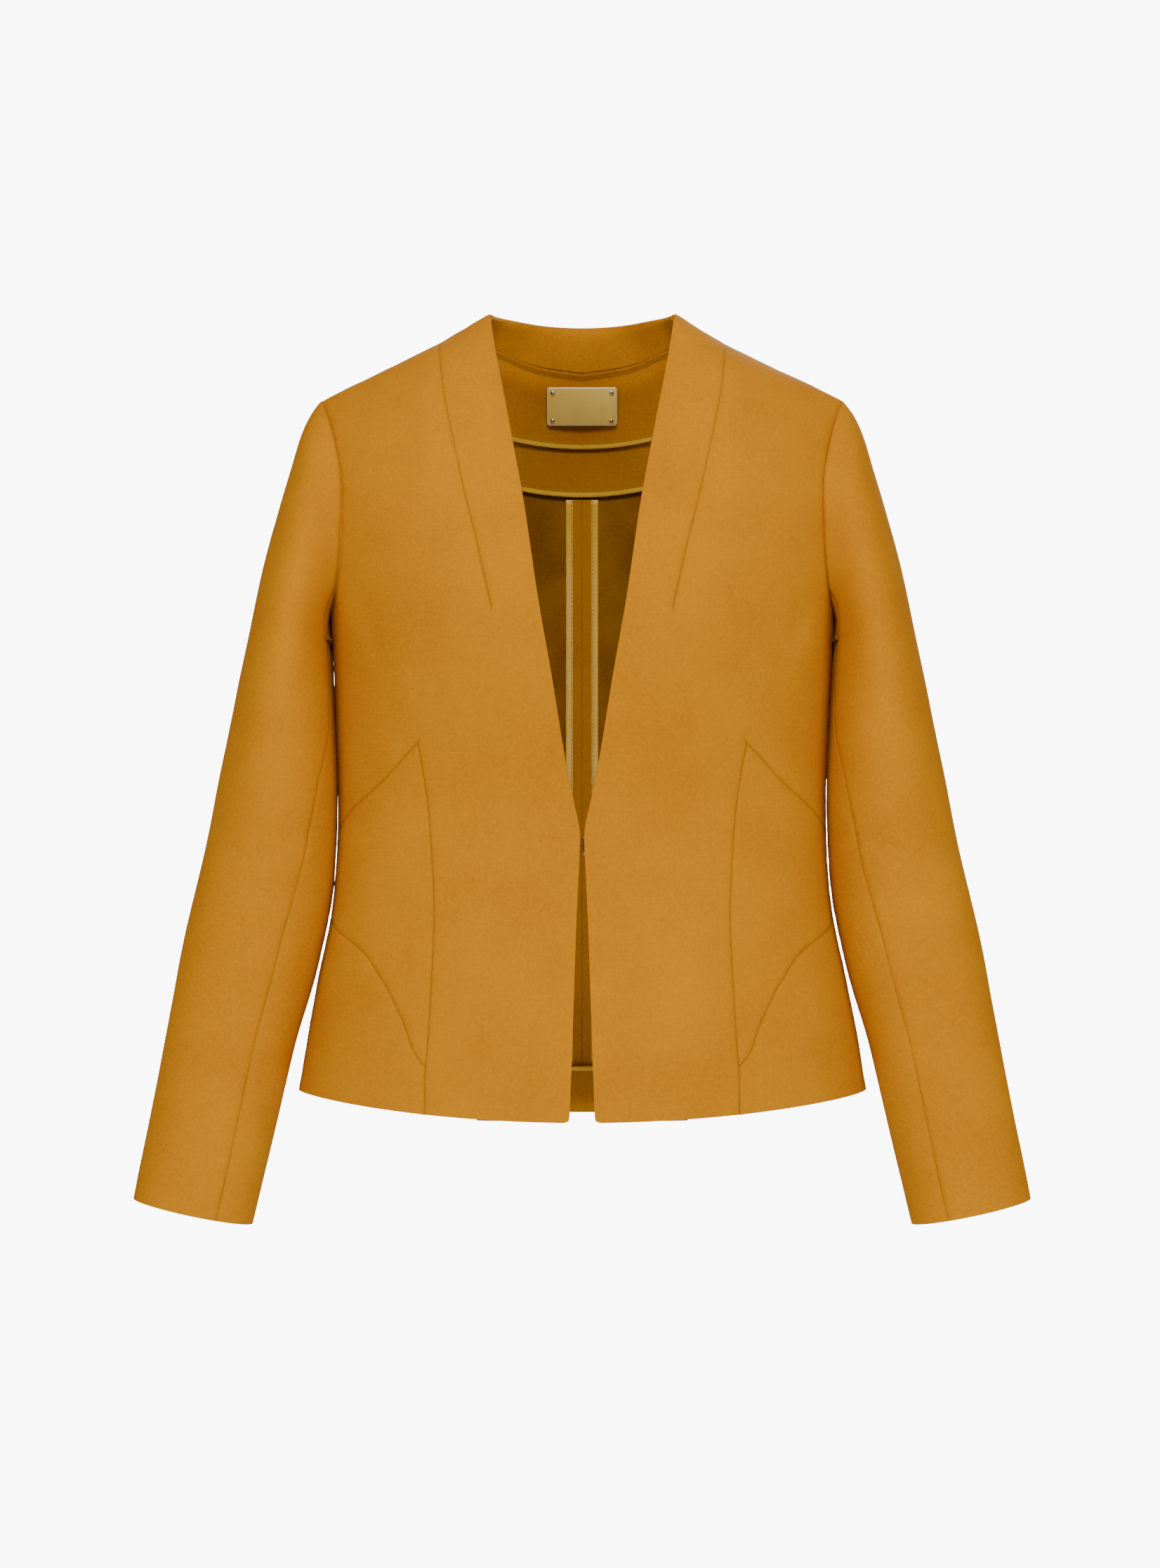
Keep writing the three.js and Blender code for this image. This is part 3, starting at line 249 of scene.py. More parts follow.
def nickelWire():
    # nickel-plated brass wire, drawn and bent: bright, with fine drawing lines and dull worn spots
    material, tree, shader = newMaterial("nickelWire", {"Metallic": 1.0, "Roughness": 0.28})
    place = addNode(tree, "ShaderNodeTexCoord")
    wear = addNode(tree, "ShaderNodeTexNoise", {"Scale": 900, "Detail": 4}, {"Vector": place.outputs["Object"]})
    base = addNode(tree, "ShaderNodeMix", {"data_type": "RGBA"}, {"Factor": wear.outputs["Fac"]})
    base.inputs["A"].default_value = toLinear("#b9ad94")
    base.inputs["B"].default_value = toLinear("#e4dcc9")
    tree.links.new(base.outputs["Result"], shader.inputs["Base Color"])
    rough = addNode(tree, "ShaderNodeMapRange", {"To Min": 0.18, "To Max": 0.42}, {"Value": wear.outputs["Fac"]})
    tree.links.new(rough.outputs["Result"], shader.inputs["Roughness"])
    return material


def satinBrass(name, light, dark, roughness):
    # stamped brass sheet, brushed across and lacquered: warm, with fine lines about 0.25 mm apart
    material, tree, shader = newMaterial(name, {"Metallic": 0.12, "Roughness": roughness, "Coat Weight": 0.25,
                                                "Coat Roughness": 0.3})
    place = addNode(tree, "ShaderNodeTexCoord")
    stretch = addNode(tree, "ShaderNodeMapping", {"Scale": (40, 900, 900)}, {"Vector": place.outputs["Object"]})
    brushed = addNode(tree, "ShaderNodeTexNoise", {"Scale": 4, "Detail": 3}, {"Vector": stretch.outputs["Vector"]})
    cloud = addNode(tree, "ShaderNodeTexNoise", {"Scale": 60, "Detail": 2}, {"Vector": place.outputs["Object"]})
    both = addNode(tree, "ShaderNodeMath", {"operation": "MULTIPLY_ADD"})
    tree.links.new(brushed.outputs["Fac"], both.inputs[0])
    both.inputs[1].default_value = 0.5
    tree.links.new(cloud.outputs["Fac"], both.inputs[2])
    base = addNode(tree, "ShaderNodeMix", {"data_type": "RGBA"}, {"Factor": both.outputs[0]})
    base.inputs["A"].default_value = toLinear(dark)
    base.inputs["B"].default_value = toLinear(light)
    tree.links.new(base.outputs["Result"], shader.inputs["Base Color"])
    bump = addNode(tree, "ShaderNodeBump", {"Strength": 0.15, "Distance": 0.0002}, {"Height": brushed.outputs["Fac"]})
    tree.links.new(bump.outputs["Normal"], shader.inputs["Normal"])
    return material


def needledWadding():
    # needled polyester wadding: matt, fibrous, off-white, with lumps 3 to 5 mm across
    material, tree, shader = newMaterial("needledWadding", {"Roughness": 0.95, "Sheen Weight": 0.3})
    place = addNode(tree, "ShaderNodeTexCoord")
    fibres = addNode(tree, "ShaderNodeTexNoise", {"Scale": 260, "Detail": 8, "Roughness": 0.7, "Distortion": 1.5},
                     {"Vector": place.outputs["Object"]})
    base = addNode(tree, "ShaderNodeMix", {"data_type": "RGBA"}, {"Factor": fibres.outputs["Fac"]})
    base.inputs["A"].default_value = toLinear("#cfc6b2")
    base.inputs["B"].default_value = toLinear("#f3eee2")
    tree.links.new(base.outputs["Result"], shader.inputs["Base Color"])
    bump = addNode(tree, "ShaderNodeBump", {"Strength": 0.6, "Distance": 0.001}, {"Height": fibres.outputs["Fac"]})
    tree.links.new(bump.outputs["Normal"], shader.inputs["Normal"])
    return material


materials = {
    "cloth": crepeCloth("woolCrepe", cloth["colour"], cloth["dark"], 0.05),
    "facing": crepeCloth("facingCrepe", "#bd7a00", "#a16400", 0.04),
    # the wrong side is partly the crepe's duller back and partly painted shade, much darker to stand for the dim
    # inside of the jacket
    "wrongSide": crepeCloth("crepeWrongSide", "#8d5800", "#6e4200", 0.03),
    "binding": satinBinding(),
    "thread": sewingThread(),
    "wire": nickelWire(),
    "plate": satinBrass("brushedBrass", "#ffd964", "#f0c048", 0.42),
    "rim": satinBrass("polishedBrass", "#f7e3a6", "#e6c878", 0.3),
    "wadding": needledWadding(),
}
print("materials made")

size = {
    "neckHalf": 70, "shoulderHalf": 196, "shoulderDrop": 66, "armholeDepth": 232, "chestHalf": 190,
    "waistHalf": 184, "hemHalf": 218, "waistLevel": 370, "bodyLength": 601, "hemRiseSide": 16,
    "hemDropBack": 11, "frontDepth": 114, "backDepth": 106, "bustFullness": 8, "hookLevel": 394,
    "hemOpenHalf": 9.3, "backNeckDrop": 36, "collarStand": 32,
    "collarSeamHalf": 88, "outerCloth": 2.2, "facingCloth": 1.5, "innerGap": 2.2,
}
neckHalf = size["neckHalf"]
shoulderHalf = size["shoulderHalf"]
shoulderDrop = size["shoulderDrop"]
armholeDepth = size["armholeDepth"]
chestHalf = size["chestHalf"]
waistLevel = size["waistLevel"]
bodyLength = size["bodyLength"]
outerCloth = size["outerCloth"]
quarter = math.pi / 2


def profile(points):
    # a smooth line through points (at, value)
    points = sorted(points)
    at = [p[0] for p in points]
    value = [p[1] for p in points]
    last = len(points) - 1
    slope = [(value[min(i + 1, last)] - value[max(i - 1, 0)]) / (at[min(i + 1, last)] - at[max(i - 1, 0)])
             for i in range(last + 1)]

    def read(x):
        if x <= at[0]:
            return value[0]
        if x >= at[last]:
            return value[last]
        i = bisect_right(at, x) - 1
        width = at[i + 1] - at[i]
        t = (x - at[i]) / width
        t2 = t * t
        t3 = t2 * t
        return ((2 * t3 - 3 * t2 + 1) * value[i] + (t3 - 2 * t2 + t) * width * slope[i]
                + (3 * t2 - 2 * t3) * value[i + 1] + (t3 - t2) * width * slope[i + 1])
    return read


def mix(a, b, t):
    return a + (b - a) * t


def ease(low, high, x):
    t = min(max((x - low) / (high - low), 0), 1)
    return t * t * (3 - 2 * t)


def aboveWaist(share):
    return -armholeDepth - share * (waistLevel - armholeDepth)


def belowWaist(share):
    return -waistLevel - share * (bodyLength - waistLevel)


waistHalf = size["waistHalf"]
hemHalf = size["hemHalf"]
frontDepth = size["frontDepth"]
backDepth = size["backDepth"]
hemBackLevel = -bodyLength - size["hemDropBack"]
shoulderLine = profile([
    (0, 22), (neckHalf / 2, 17), (neckHalf, 0), (neckHalf + 38, -22.8),
    ((neckHalf + 38 + shoulderHalf) / 2, -22.8 - (shoulderDrop - 22.8) * 0.5),
    (shoulderHalf, -shoulderDrop), (shoulderHalf + 34, -shoulderDrop - 19)])
halfWidth = profile([
    (0, shoulderHalf + 9), (-shoulderDrop, shoulderHalf + 9), (-armholeDepth * 0.61, shoulderHalf + 7),
    (-armholeDepth * 0.86, chestHalf + 5), (-armholeDepth, chestHalf), (aboveWaist(0.493), waistHalf + 2),
    (-waistLevel, waistHalf), (belowWaist(0.216), waistHalf + 2), (belowWaist(0.372), waistHalf + 6),
    (belowWaist(0.537), hemHalf - 20), (belowWaist(0.723), hemHalf - 12), (belowWaist(0.905), hemHalf - 5),
    (hemBackLevel, hemHalf)])
depthFront = profile([
    (0, frontDepth - 14), (-100, frontDepth - 10), (-armholeDepth + 50, frontDepth - 3),
    (-armholeDepth, frontDepth), (aboveWaist(0.493), frontDepth - 8), (-waistLevel, frontDepth - 20),
    (belowWaist(0.26), frontDepth - 16), (belowWaist(0.567), frontDepth - 6), (-bodyLength, frontDepth + 4)])
depthBack = profile([
    (0, backDepth + 10), (-100, backDepth + 2), (-armholeDepth + 62, backDepth + 2),
    (-armholeDepth, backDepth - 4), (aboveWaist(0.58), backDepth - 14), (-waistLevel, backDepth - 22),
    (belowWaist(0.26), backDepth - 14), (belowWaist(0.567), backDepth + 2), (hemBackLevel, backDepth + 12)])


def bodyPoint(back, around, z):
    x = halfWidth(z) * math.sin(around)
    reach = abs(x)
    below = max(shoulderLine(reach) - z, 0)
    padded = 1 - min(below / 110, 1)
    rounded = math.sqrt(1 - padded * padded)
    slope = (below / 120) ** 0.7
    flat = slope / (1 + slope ** 6) ** (1 / 6)
    height = mix(flat, rounded, ease(neckHalf - 10, neckHalf + 50, reach))
    if back:
        return (x, depthBack(z) * math.cos(around) * height, z)
    bust = size["bustFullness"] * math.exp(-((reach - 88) / 48) ** 2 - ((z + armholeDepth + 13) / 60) ** 2)
    return (x, -(depthFront(z) + bust) * math.cos(around) * height, z)


def frontSurface(around, z):
    return bodyPoint(False, around, z)


def backSurface(around, z):
    return bodyPoint(True, around, z)


def bodyCore(around, z):
    return (0, 0, min(z, -shoulderDrop) - 60)


def aroundAt(x, z):
    return math.asin(min(max(x / halfWidth(z), -1), 1))


def hemFront(around):
    return -bodyLength + size["hemRiseSide"] * math.sin(around) ** 2


def hemBack(around):
    return hemBackLevel + (size["hemRiseSide"] + size["hemDropBack"]) * math.sin(around) ** 2


hookLevel = size["hookLevel"]
vEdge = profile([
    (0, neckHalf), (-33, neckHalf - 5.5), (-99, neckHalf - 18), (-147, neckHalf - 27),
    (-219, neckHalf * 0.46), (-273, neckHalf * 0.325), (-hookLevel + 48, 10.8), (-hookLevel + 10, 2.6),
    (-hookLevel, 1.6), (-hookLevel - 0.295 * (bodyLength - hookLevel), 4.2),
    (-hookLevel - 0.75 * (bodyLength - hookLevel), 7.4), (-bodyLength, size["hemOpenHalf"])])


dartLevel = waistLevel - 45
sideFrontSeam = profile([
    (-dartLevel, 121), (-waistLevel, 114), (belowWaist(0.216), 110), (belowWaist(0.372), 109),
    (belowWaist(0.554), 110.6), (belowWaist(0.745), 113), (belowWaist(0.857), 115), (-bodyLength, 115)])
neckDart = profile([(-22.8, 108), (-64.8, 102.3), (-97, 95.7), (-143.4, 85.8), (-177.2, 77.2), (-229.2, 65.2)])
neckDartFoot = -229.2


def armhole(insets):
    return profile([(-shoulderDrop, shoulderHalf)] + [(z, halfWidth(z) - inset) for z, inset in insets]
                   + [(-armholeDepth, chestHalf)])


armholeFront = armhole([
    (-shoulderDrop - 24, 17.75), (-armholeDepth * 0.53, 24), (-armholeDepth * 0.61, 24),
    (-armholeDepth * 0.755, 18.8), (-armholeDepth * 0.84, 14.2), (-armholeDepth * 0.93, 7.3)])
armholeBack = armhole([
    (-shoulderDrop - 24, 15.75), (-armholeDepth * 0.53, 20), (-armholeDepth * 0.61, 21),
    (-armholeDepth * 0.755, 16.8), (-armholeDepth * 0.84, 11.7), (-armholeDepth * 0.93, 5.3)])
princessTop = -armholeDepth * 0.75
backPrincess = profile([
    (princessTop, armholeBack(princessTop)), (-armholeDepth - 10, 142), (aboveWaist(0.507), 118),
    (-waistLevel, 104), (belowWaist(0.476), 112), (-bodyLength, 124)])
collarSeamHalf = size["collarSeamHalf"]
backNeck = profile([(0, -size["backNeckDrop"]), (collarSeamHalf / 2, -size["backNeckDrop"] + 7),
                    (collarSeamHalf, shoulderLine(collarSeamHalf))])

sleeve = {
    "end": 684, "lean": math.radians(12.2), "clearance": 0.3, "cuffForward": 26,
    "upperHalfDepth": 68, "elbowHalfDepth": 47, "cuffHalfDepth": 37, "elbowWidth": 98, "cuffWidth": 90,
    "joinStation": 8, "cuffFacing": 38, "capGap": 0.3, "closer": 1.5, "tuck": 3.4, "tuckDepth": 2.3,
}


def makeStations():
    depth = sleeve["upperHalfDepth"]
    elbow = sleeve["elbowHalfDepth"]
    capDepth = profile([(0, depth - 17), (2, depth - 10), (4, depth - 4), (6, depth)])
    downDepth = profile([(0, depth), (0.128, depth - 2), (0.258, depth - 8), (0.412, elbow + 3), (0.6, elbow - 2),
                         (1, sleeve["cuffHalfDepth"])])

    def innerAt(z, hang):
        return (max(halfWidth(z), 0 if z < -armholeDepth else chestHalf) + hang, z)
    stations = []
    for i, (dx, dz, dip) in enumerate(((0.8, 0, 1), (9, -11, 4), (16, -26, 7), (24, -52, 10), (33, -81, 14),
                                       (44, -124, 18))):
        stations.append(((shoulderHalf + dx, -shoulderDrop + dz),
                         innerAt(-armholeDepth - dip + 2, sleeve["clearance"]), capDepth(i), 0))
    start = -armholeDepth - 22
    wide = sleeve["elbowWidth"]
    for share, width, hang in ((0, 62, 0), (0.128, 76, 0), (0.258, 89, 0), (0.412, wide + 1, 0),
                               (0.558, wide + 3.5, 0.6),
                               (0.7, wide - 3, 7), (0.85, (wide + sleeve["cuffWidth"]) / 2 - 2, 13),
                               (1, sleeve["cuffWidth"], 28)):
        inner = innerAt(mix(start, -sleeve["end"], share), sleeve["clearance"] + hang)
        width += sleeve["closer"]
        outer = (inner[0] + width * math.cos(sleeve["lean"]), inner[1] + width * math.sin(sleeve["lean"]))
        stations.append((outer, inner, downDepth(share), sleeve["cuffForward"] * share ** 1.6))
    return stations


stations = makeStations()
lastStation = len(stations) - 1
outX = profile([(i, s[0][0]) for i, s in enumerate(stations)])
outZ = profile([(i, s[0][1]) for i, s in enumerate(stations)])
inX = profile([(i, s[1][0]) for i, s in enumerate(stations)])
inZ = profile([(i, s[1][1]) for i, s in enumerate(stations)])
sleeveDepth = profile([(i, s[2]) for i, s in enumerate(stations)])
sleeveForward = profile([(i, s[3]) for i, s in enumerate(stations)])


def armholeLoop(theta):
    z = mix(-shoulderDrop, -armholeDepth, (1 - math.cos(theta)) / 2)
    back = math.sin(theta) < 0
    x = (armholeBack if back else armholeFront)(z)
    return bodyPoint(back, aroundAt(x, z), z)


def sleeveRing(theta, s):
    share = (1 + math.cos(theta)) / 2
    return (mix(inX(s), outX(s), share), -sleeveForward(s) - sleeveDepth(s) * math.sin(theta),
            mix(inZ(s), outZ(s), share))


def sleevePoint(theta, station):
    s = min(max(station, 0), lastStation)
    point = sleeveRing(theta, s)
    fade = max(1 - s / 5, 0) ** 2
    if fade > 0:
        loop = armholeLoop(theta)
        first = sleeveRing(theta, 0)
        point = tuple(point[k] + fade * (loop[k] - first[k] + (sleeve["capGap"] if k == 0 else 0))
                      for k in range(3))
    if station < 0:
        # the seam allowance, turned in under the panel's edge
        back = math.sin(theta) < 0
        surface = backSurface if back else frontSurface
        z = mix(-shoulderDrop, -armholeDepth, (1 - math.cos(theta)) / 2)
        inward = normalAt(surface, bodyCore, aroundAt((armholeBack if back else armholeFront)(z), z), z)
        point = (point[0] + station * (sleeve["tuck"] + inward.x * sleeve["tuckDepth"]),
                 point[1] + station * inward.y * sleeve["tuckDepth"],
                 point[2] + station * inward.z * sleeve["tuckDepth"])
    return point


frontSleeveSeam = profile([(0, 138), (4, 150), (6, 163), (7, 158), (7.8, 138), (8.8, 124), (9.8, 116), (13, 117)])
backSleeveSeam = profile([(0, -135), (6, -135), (9, -125), (13, -117)])



def coons(top, bottom, inner, outer, us, vs):
    corner = (top(0), top(1), bottom(0), bottom(1))
    rows = []
    tops = [top(u) for u in us]
    bottoms = [bottom(u) for u in us]
    for v in vs:
        left = inner(v)
        right = outer(v)
        rows.append([tuple((1 - v) * tops[i][k] + v * bottoms[i][k] + (1 - u) * left[k] + u * right[k]
                           - (1 - u) * (1 - v) * corner[0][k] - u * (1 - v) * corner[1][k]
                           - (1 - u) * v * corner[2][k] - u * v * corner[3][k] for k in range(2))
                     for i, u in enumerate(us)])
    return rows


gridStep = 4.2     # mm between rows of a sheet
edgeSteps = (0, 0.8, 2.2, 4.6)            # rows beside a seam, so that it can dip


def spread(length, first=True, last=True):
    # shares of a length, closer together at its ends
    low = [d / length for d in (edgeSteps if first else (0,))]
    high = [1 - d / length for d in reversed(edgeSteps if last else (0,))]
    room = high[0] - low[-1]
    count = max(int(round(room * length / gridStep)), 1)
    return low + [low[-1] + room * i / count for i in range(1, count)] + high


def at(side, x, z):
    return (aroundAt(side * x, z), z)


def downLine(side, line, top, foot):
    return lambda t: at(side, line(mix(top, foot, t)), mix(top, foot, t))


def straight(a, b):
    return lambda t: (mix(a[0], b[0], t), mix(a[1], b[1], t))


def sideSeam(side, top, foot):
    return lambda t: (side * quarter, mix(top, foot, t))


def chain(first, second, share):
    return lambda t: first(t / share) if t < share else second((t - share) / (1 - share))


def through(points):
    # a smooth line through parameter points, at even shares
    count = len(points) - 1
    lines = [profile([(i / count, p[k]) for i, p in enumerate(points)]) for k in (0, 1)]
    return lambda t: (lines[0](t), lines[1](t))


def shoulderEdge(side, start, end):
    def edge(t):
        x = mix(start, end, t)
        return at(side, x, shoulderLine(x))
    return edge


def normalAt(surface, core, p, q):
    a = Vector(surface(p + 0.004, q)) - Vector(surface(p - 0.004, q))
    b = Vector(surface(p, q + 0.5)) - Vector(surface(p, q - 0.5))
    n = a.cross(b).normalized()
    return -n if n.dot(Vector(surface(p, q)) - Vector(core(p, q))) < 0 else n


def inside(surface, core, depth):
    # the same surface, deeper by depth(p, q) or by a number
    def read(p, q):
        d = depth(p, q) if callable(depth) else depth
        return tuple(Vector(surface(p, q)) - normalAt(surface, core, p, q) * d)
    return read


seamTree = None
seamPoints = []


def addSeam(surface, edge, steps=260):
    for i in range(steps + 1):
        seamPoints.append(Vector(surface(*edge(i / steps))))


def selectOnly(obj):
    bpy.ops.object.select_all(action="DESELECT")
    obj.select_set(True)
    bpy.context.view_layer.objects.active = obj


def applyModifiers(obj):
    selectOnly(obj)
    for modifier in list(obj.modifiers):
        bpy.ops.object.modifier_apply(modifier=modifier.name)


def makeSheet(name, grids, surface, core, uvScale=(190, 1), closed=False, folds=None):
    # welds grids of surface parameters into one open sheet, with its folds and seam dips
    points = []
    keys = {}
    faces = []

    def index(p):
        key = (round(p[0], 5), round(p[1], 4))
        if key not in keys:
            keys[key] = len(points)
            points.append(p)
        return keys[key]
    for rows in grids:
        ids = [[index(p) for p in row] for row in rows]
        for j in range(len(ids) - 1):
            width = len(ids[j])
            for i in range(width if closed else width - 1):
                k = (i + 1) % width
                ring = []
                for v in (ids[j][i], ids[j][k], ids[j + 1][k], ids[j + 1][i]):
                    if v not in ring:
                        ring.append(v)
                if len(ring) > 2:
                    faces.append(ring)
    place = [Vector(surface(*p)) for p in points]
    mesh = bpy.data.meshes.new(name)
    mesh.from_pydata([v * mm for v in place], [], faces)
    mesh.update()
    away = 0
    for face in mesh.polygons:
        p = points[face.vertices[0]]
        away += (face.center - Vector(core(*p)) * mm).dot(face.normal) * face.area
    if away < 0:
        mesh.flip_normals()
        mesh.update()
    patterns[name] = patternSize(points, surface, mesh)
    normals = [v.normal.copy() for v in mesh.vertices]
    # seamShade is painted shade: strongest on a seam, fading within a few mm, standing in for the shadow in the
    # seam's groove
    shade = mesh.attributes.new("seamShade", "FLOAT", "POINT")
    moved = []
    for i, v in enumerate(place):
        lift = folds(v) if folds else 0
        near = seamTree.find(v)[2] if seamTree else 99
        if near < 22:
            lift -= 0.62 * math.exp(-(near / 1.5) ** 2)
            lift += 0.42 * math.exp(-(near / 9) ** 2) * noise.noise(v / 8.5)
        shade.data[i].value = 0.6 * max(1 - near / 0.8, 0) + 0.1 * math.exp(-(near / 2.4) ** 2)
        moved.append((v + normals[i] * lift) * mm)
    mesh.vertices.foreach_set("co", [c for v in moved for c in v])
    uv = mesh.uv_layers.new(name="UVMap")
    for loop in mesh.loops:
        p = points[loop.vertex_index]
        uv.data[loop.index].uv = (p[0] * uvScale[0] * mm, p[1] * uvScale[1] * mm)
    mesh.update()
    obj = bpy.data.objects.new(name + "_sheet", mesh)
    bpy.context.collection.objects.link(obj)
    return obj


patterns = {}
patternLines = 24
patternSteps = 80


def patternSize(points, surface, mesh):
    # the cut laid flat: its widest and longest line and its area in m, before folds and thickness
    spans = []
    for k in (0, 1):
        low = min(p[1 - k] for p in points)
        step = (max(p[1 - k] for p in points) - low) / patternLines
        rows = {}
        for p in points:
            rows.setdefault(min(int((p[1 - k] - low) / step), patternLines - 1), []).append(p[k])
        longest = 0
        for row, ends in rows.items():
            level = low + step * (row + 0.5)
            along = [mix(min(ends), max(ends), i / patternSteps) for i in range(patternSteps + 1)]
            line = [Vector(surface(a, level) if k == 0 else surface(level, a)) for a in along]
            longest = max(longest, sum((b - a).length for a, b in zip(line, line[1:])))
        spans.append(math.ceil(longest) / 1000)
    return spans[0], spans[1], round(sum(face.area for face in mesh.polygons), 4)


def nodeName(obj):
    return obj.name.replace("_sheet", "")


flats = {}


def finishSheet(obj, thick, material, wrongSide=True):
    area = sum(face.area for face in obj.data.polygons)
    thicken = obj.modifiers.new("thickness", "SOLIDIFY")
    thicken.thickness = thick * mm
    thicken.offset = -1
    thicken.use_even_offset = False
    obj.data.materials.append(materials[material])
    # inner faces of the cloth take the darker wrong side, which is partly painted shade for the jacket's inside
    if material == "cloth" and wrongSide:
        obj.data.materials.append(materials["wrongSide"])
        thicken.material_offset = 1
    applyModifiers(obj)
    bpy.ops.object.shade_smooth_by_angle(angle=math.radians(50))
    name = nodeName(obj)
    width, length, cutArea = patterns[name]
    flats[name] = (width, length, cutArea, round(area, 4))
    return obj


sides = {"right": -1, "left": 1}
hipSeamInner = belowWaist(0.831)
hipSeamSide = belowWaist(0.364)
waistSeamSide = belowWaist(0.121)
cornerRound = 4


def frontLines(side):
    # the lines that the front's panels share, in surface parameters
    hemAt = lambda x: (aroundAt(side * x, -bodyLength), hemFront(aroundAt(side * x, -bodyLength)))
    dart = at(side, sideFrontSeam(-dartLevel), -dartLevel)
    lines = {
        "dart": dart,
        "sideTop": (side * quarter, -dartLevel),
        "waistSide": (side * quarter, waistSeamSide),
        "hipSide": (side * quarter, hipSeamSide),
        "hipCorner": at(side, sideFrontSeam(hipSeamInner), hipSeamInner),
        "seamFoot": hemAt(sideFrontSeam(-bodyLength)),
        "hemSide": (side * quarter, hemFront(quarter)),
        "corner": hemAt(size["hemOpenHalf"] + cornerRound),
    }
    lines["waistSeam"] = through([dart, at(side, 155, -waistLevel + 11), lines["waistSide"]])
    lines["hipSeam"] = through([lines["hipCorner"], at(side, 124, belowWaist(0.779)),
                                at(side, 132, belowWaist(0.688)),
                                at(side, 147.5, belowWaist(0.563)), at(side, 168, belowWaist(0.4545)),
                                lines["hipSide"]])

    def seamDown(top, foot):
        return lambda t: at(side, sideFrontSeam(mix(top, foot[1], t)), mix(top, foot[1], t)) if t < 1 else foot
    lines["seamDown"] = seamDown
    return lines


def hemLine(a, b, hem):
    return lambda t: (mix(a[0], b[0], t), hem(mix(a[0], b[0], t)))


def addAllSeams():
    for side in sides.values():
        lines = frontLines(side)
        addSeam(frontSurface, shoulderEdge(side, neckHalf + 1, shoulderHalf))
        addSeam(frontSurface, downLine(side, armholeFront, -shoulderDrop, -armholeDepth), 420)
        addSeam(backSurface, downLine(side, armholeBack, -shoulderDrop, -armholeDepth), 420)
        addSeam(frontSurface, sideSeam(side, -armholeDepth, hemFront(quarter)), 700)
        addSeam(frontSurface, downLine(side, neckDart, -22.8, neckDartFoot), 420)
        addSeam(frontSurface, lines["waistSeam"])
        addSeam(frontSurface, lines["seamDown"](-dartLevel, lines["seamFoot"]), 560)
        addSeam(frontSurface, lines["hipSeam"], 420)
        addSeam(backSurface, downLine(side, backPrincess, princessTop, -bodyLength - 4), 800)
        addSeam(backSurface, lambda t: at(side, mix(0, collarSeamHalf, t), backNeck(mix(0, collarSeamHalf, t))))

        def sleeveSide(theta, station):
            x, y, z = sleevePoint(theta, station)
            return (side * x, y, z)
        for line in (frontSleeveSeam, backSleeveSeam):
            addSeam(sleeveSide, lambda t, line=line: (math.radians(line(t * lastStation)), t * lastStation), 1200)
    addSeam(backSurface, straight((0, -size["backNeckDrop"]), (0, hemBackLevel)), 1100)


addAllSeams()
seamTree = kdtree.KDTree(len(seamPoints))
for i, point in enumerate(seamPoints):
    seamTree.insert(point, i)
seamTree.balance()
print("seam lines laid out:", len(seamPoints))


def crease(v, a, b, width):
    # how near v is to the line a-b, seen from the front, 1 on it and 0 well away
    ax, az = a
    dx, dz = b[0] - ax, b[1] - az
    t = min(max(((abs(v.x) - ax) * dx + (v.z - az) * dz) / (dx * dx + dz * dz), 0), 1)
    gap = math.hypot(abs(v.x) - ax - t * dx, v.z - az - t * dz)
    return math.exp(-(gap / width) ** 2) * math.sin(math.pi * min(max(0.12 + 0.76 * t, 0), 1))


def bodyFolds(v):
    lift = 0.9 * noise.noise(Vector((v.x / 75, v.y / 60, v.z / 120)))
    lift += 0.35 * noise.noise(Vector((v.x / 26, v.y / 30, v.z / 44 + 7)))
    if v.y < 0:
        lift -= 1.3 * crease(v, (169, -214), (149, -262), 8)
        lift += 0.9 * crease(v, (176, -224), (157, -274), 9)
        lift += 1.1 * crease(v, (126, -286), (120, -322), 8)
        lift -= 0.8 * crease(v, (150, -118), (96, -196), 22)
        lift -= 0.6 * crease(v, (60, -400), (52, -560), 22)
    else:
        lift -= 1.0 * crease(v, (160, -190), (128, -300), 16)
        lift -= 0.8 * crease(v, (60, -330), (66, -420), 16)
    return lift


def sleeveFolds(v):
    x = abs(v.x)
    lift = 0.9 * noise.noise(Vector((x / 60, v.y / 55, v.z / 130 + 3)))
    lift += 0.3 * noise.noise(Vector((x / 24, v.y / 24, v.z / 50)))
    for high, low, depth, width in (((203, -392), (262, -420), 1.3, 9), ((206, -436), (256, -434), 1.1, 9),
                                    ((214, -470), (262, -452), 0.9, 10), ((196, -262), (222, -322), 1.2, 12),
                                    ((226, -120), (218, -230), 0.9, 16), ((262, -540), (300, -512), 0.7, 14)):
        lift -= depth * crease(v, high, low, width) * ease(30, -10, v.y)
    return lift


def blendFold(obj):
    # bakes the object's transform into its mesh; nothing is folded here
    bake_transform(obj)


def cornered(side, lines):
    # the front edge, rounded off where it meets the hem
    foot = lines["corner"]

    def edge(t):
        z = mix(-dartLevel, foot[1], t)
        up = z - foot[1]
        away = cornerRound - math.sqrt(max(cornerRound ** 2 - (cornerRound - up) ** 2, 0)) if up < cornerRound else 0
        return at(side, vEdge(z) + away, z) if t < 1 else foot
    return edge


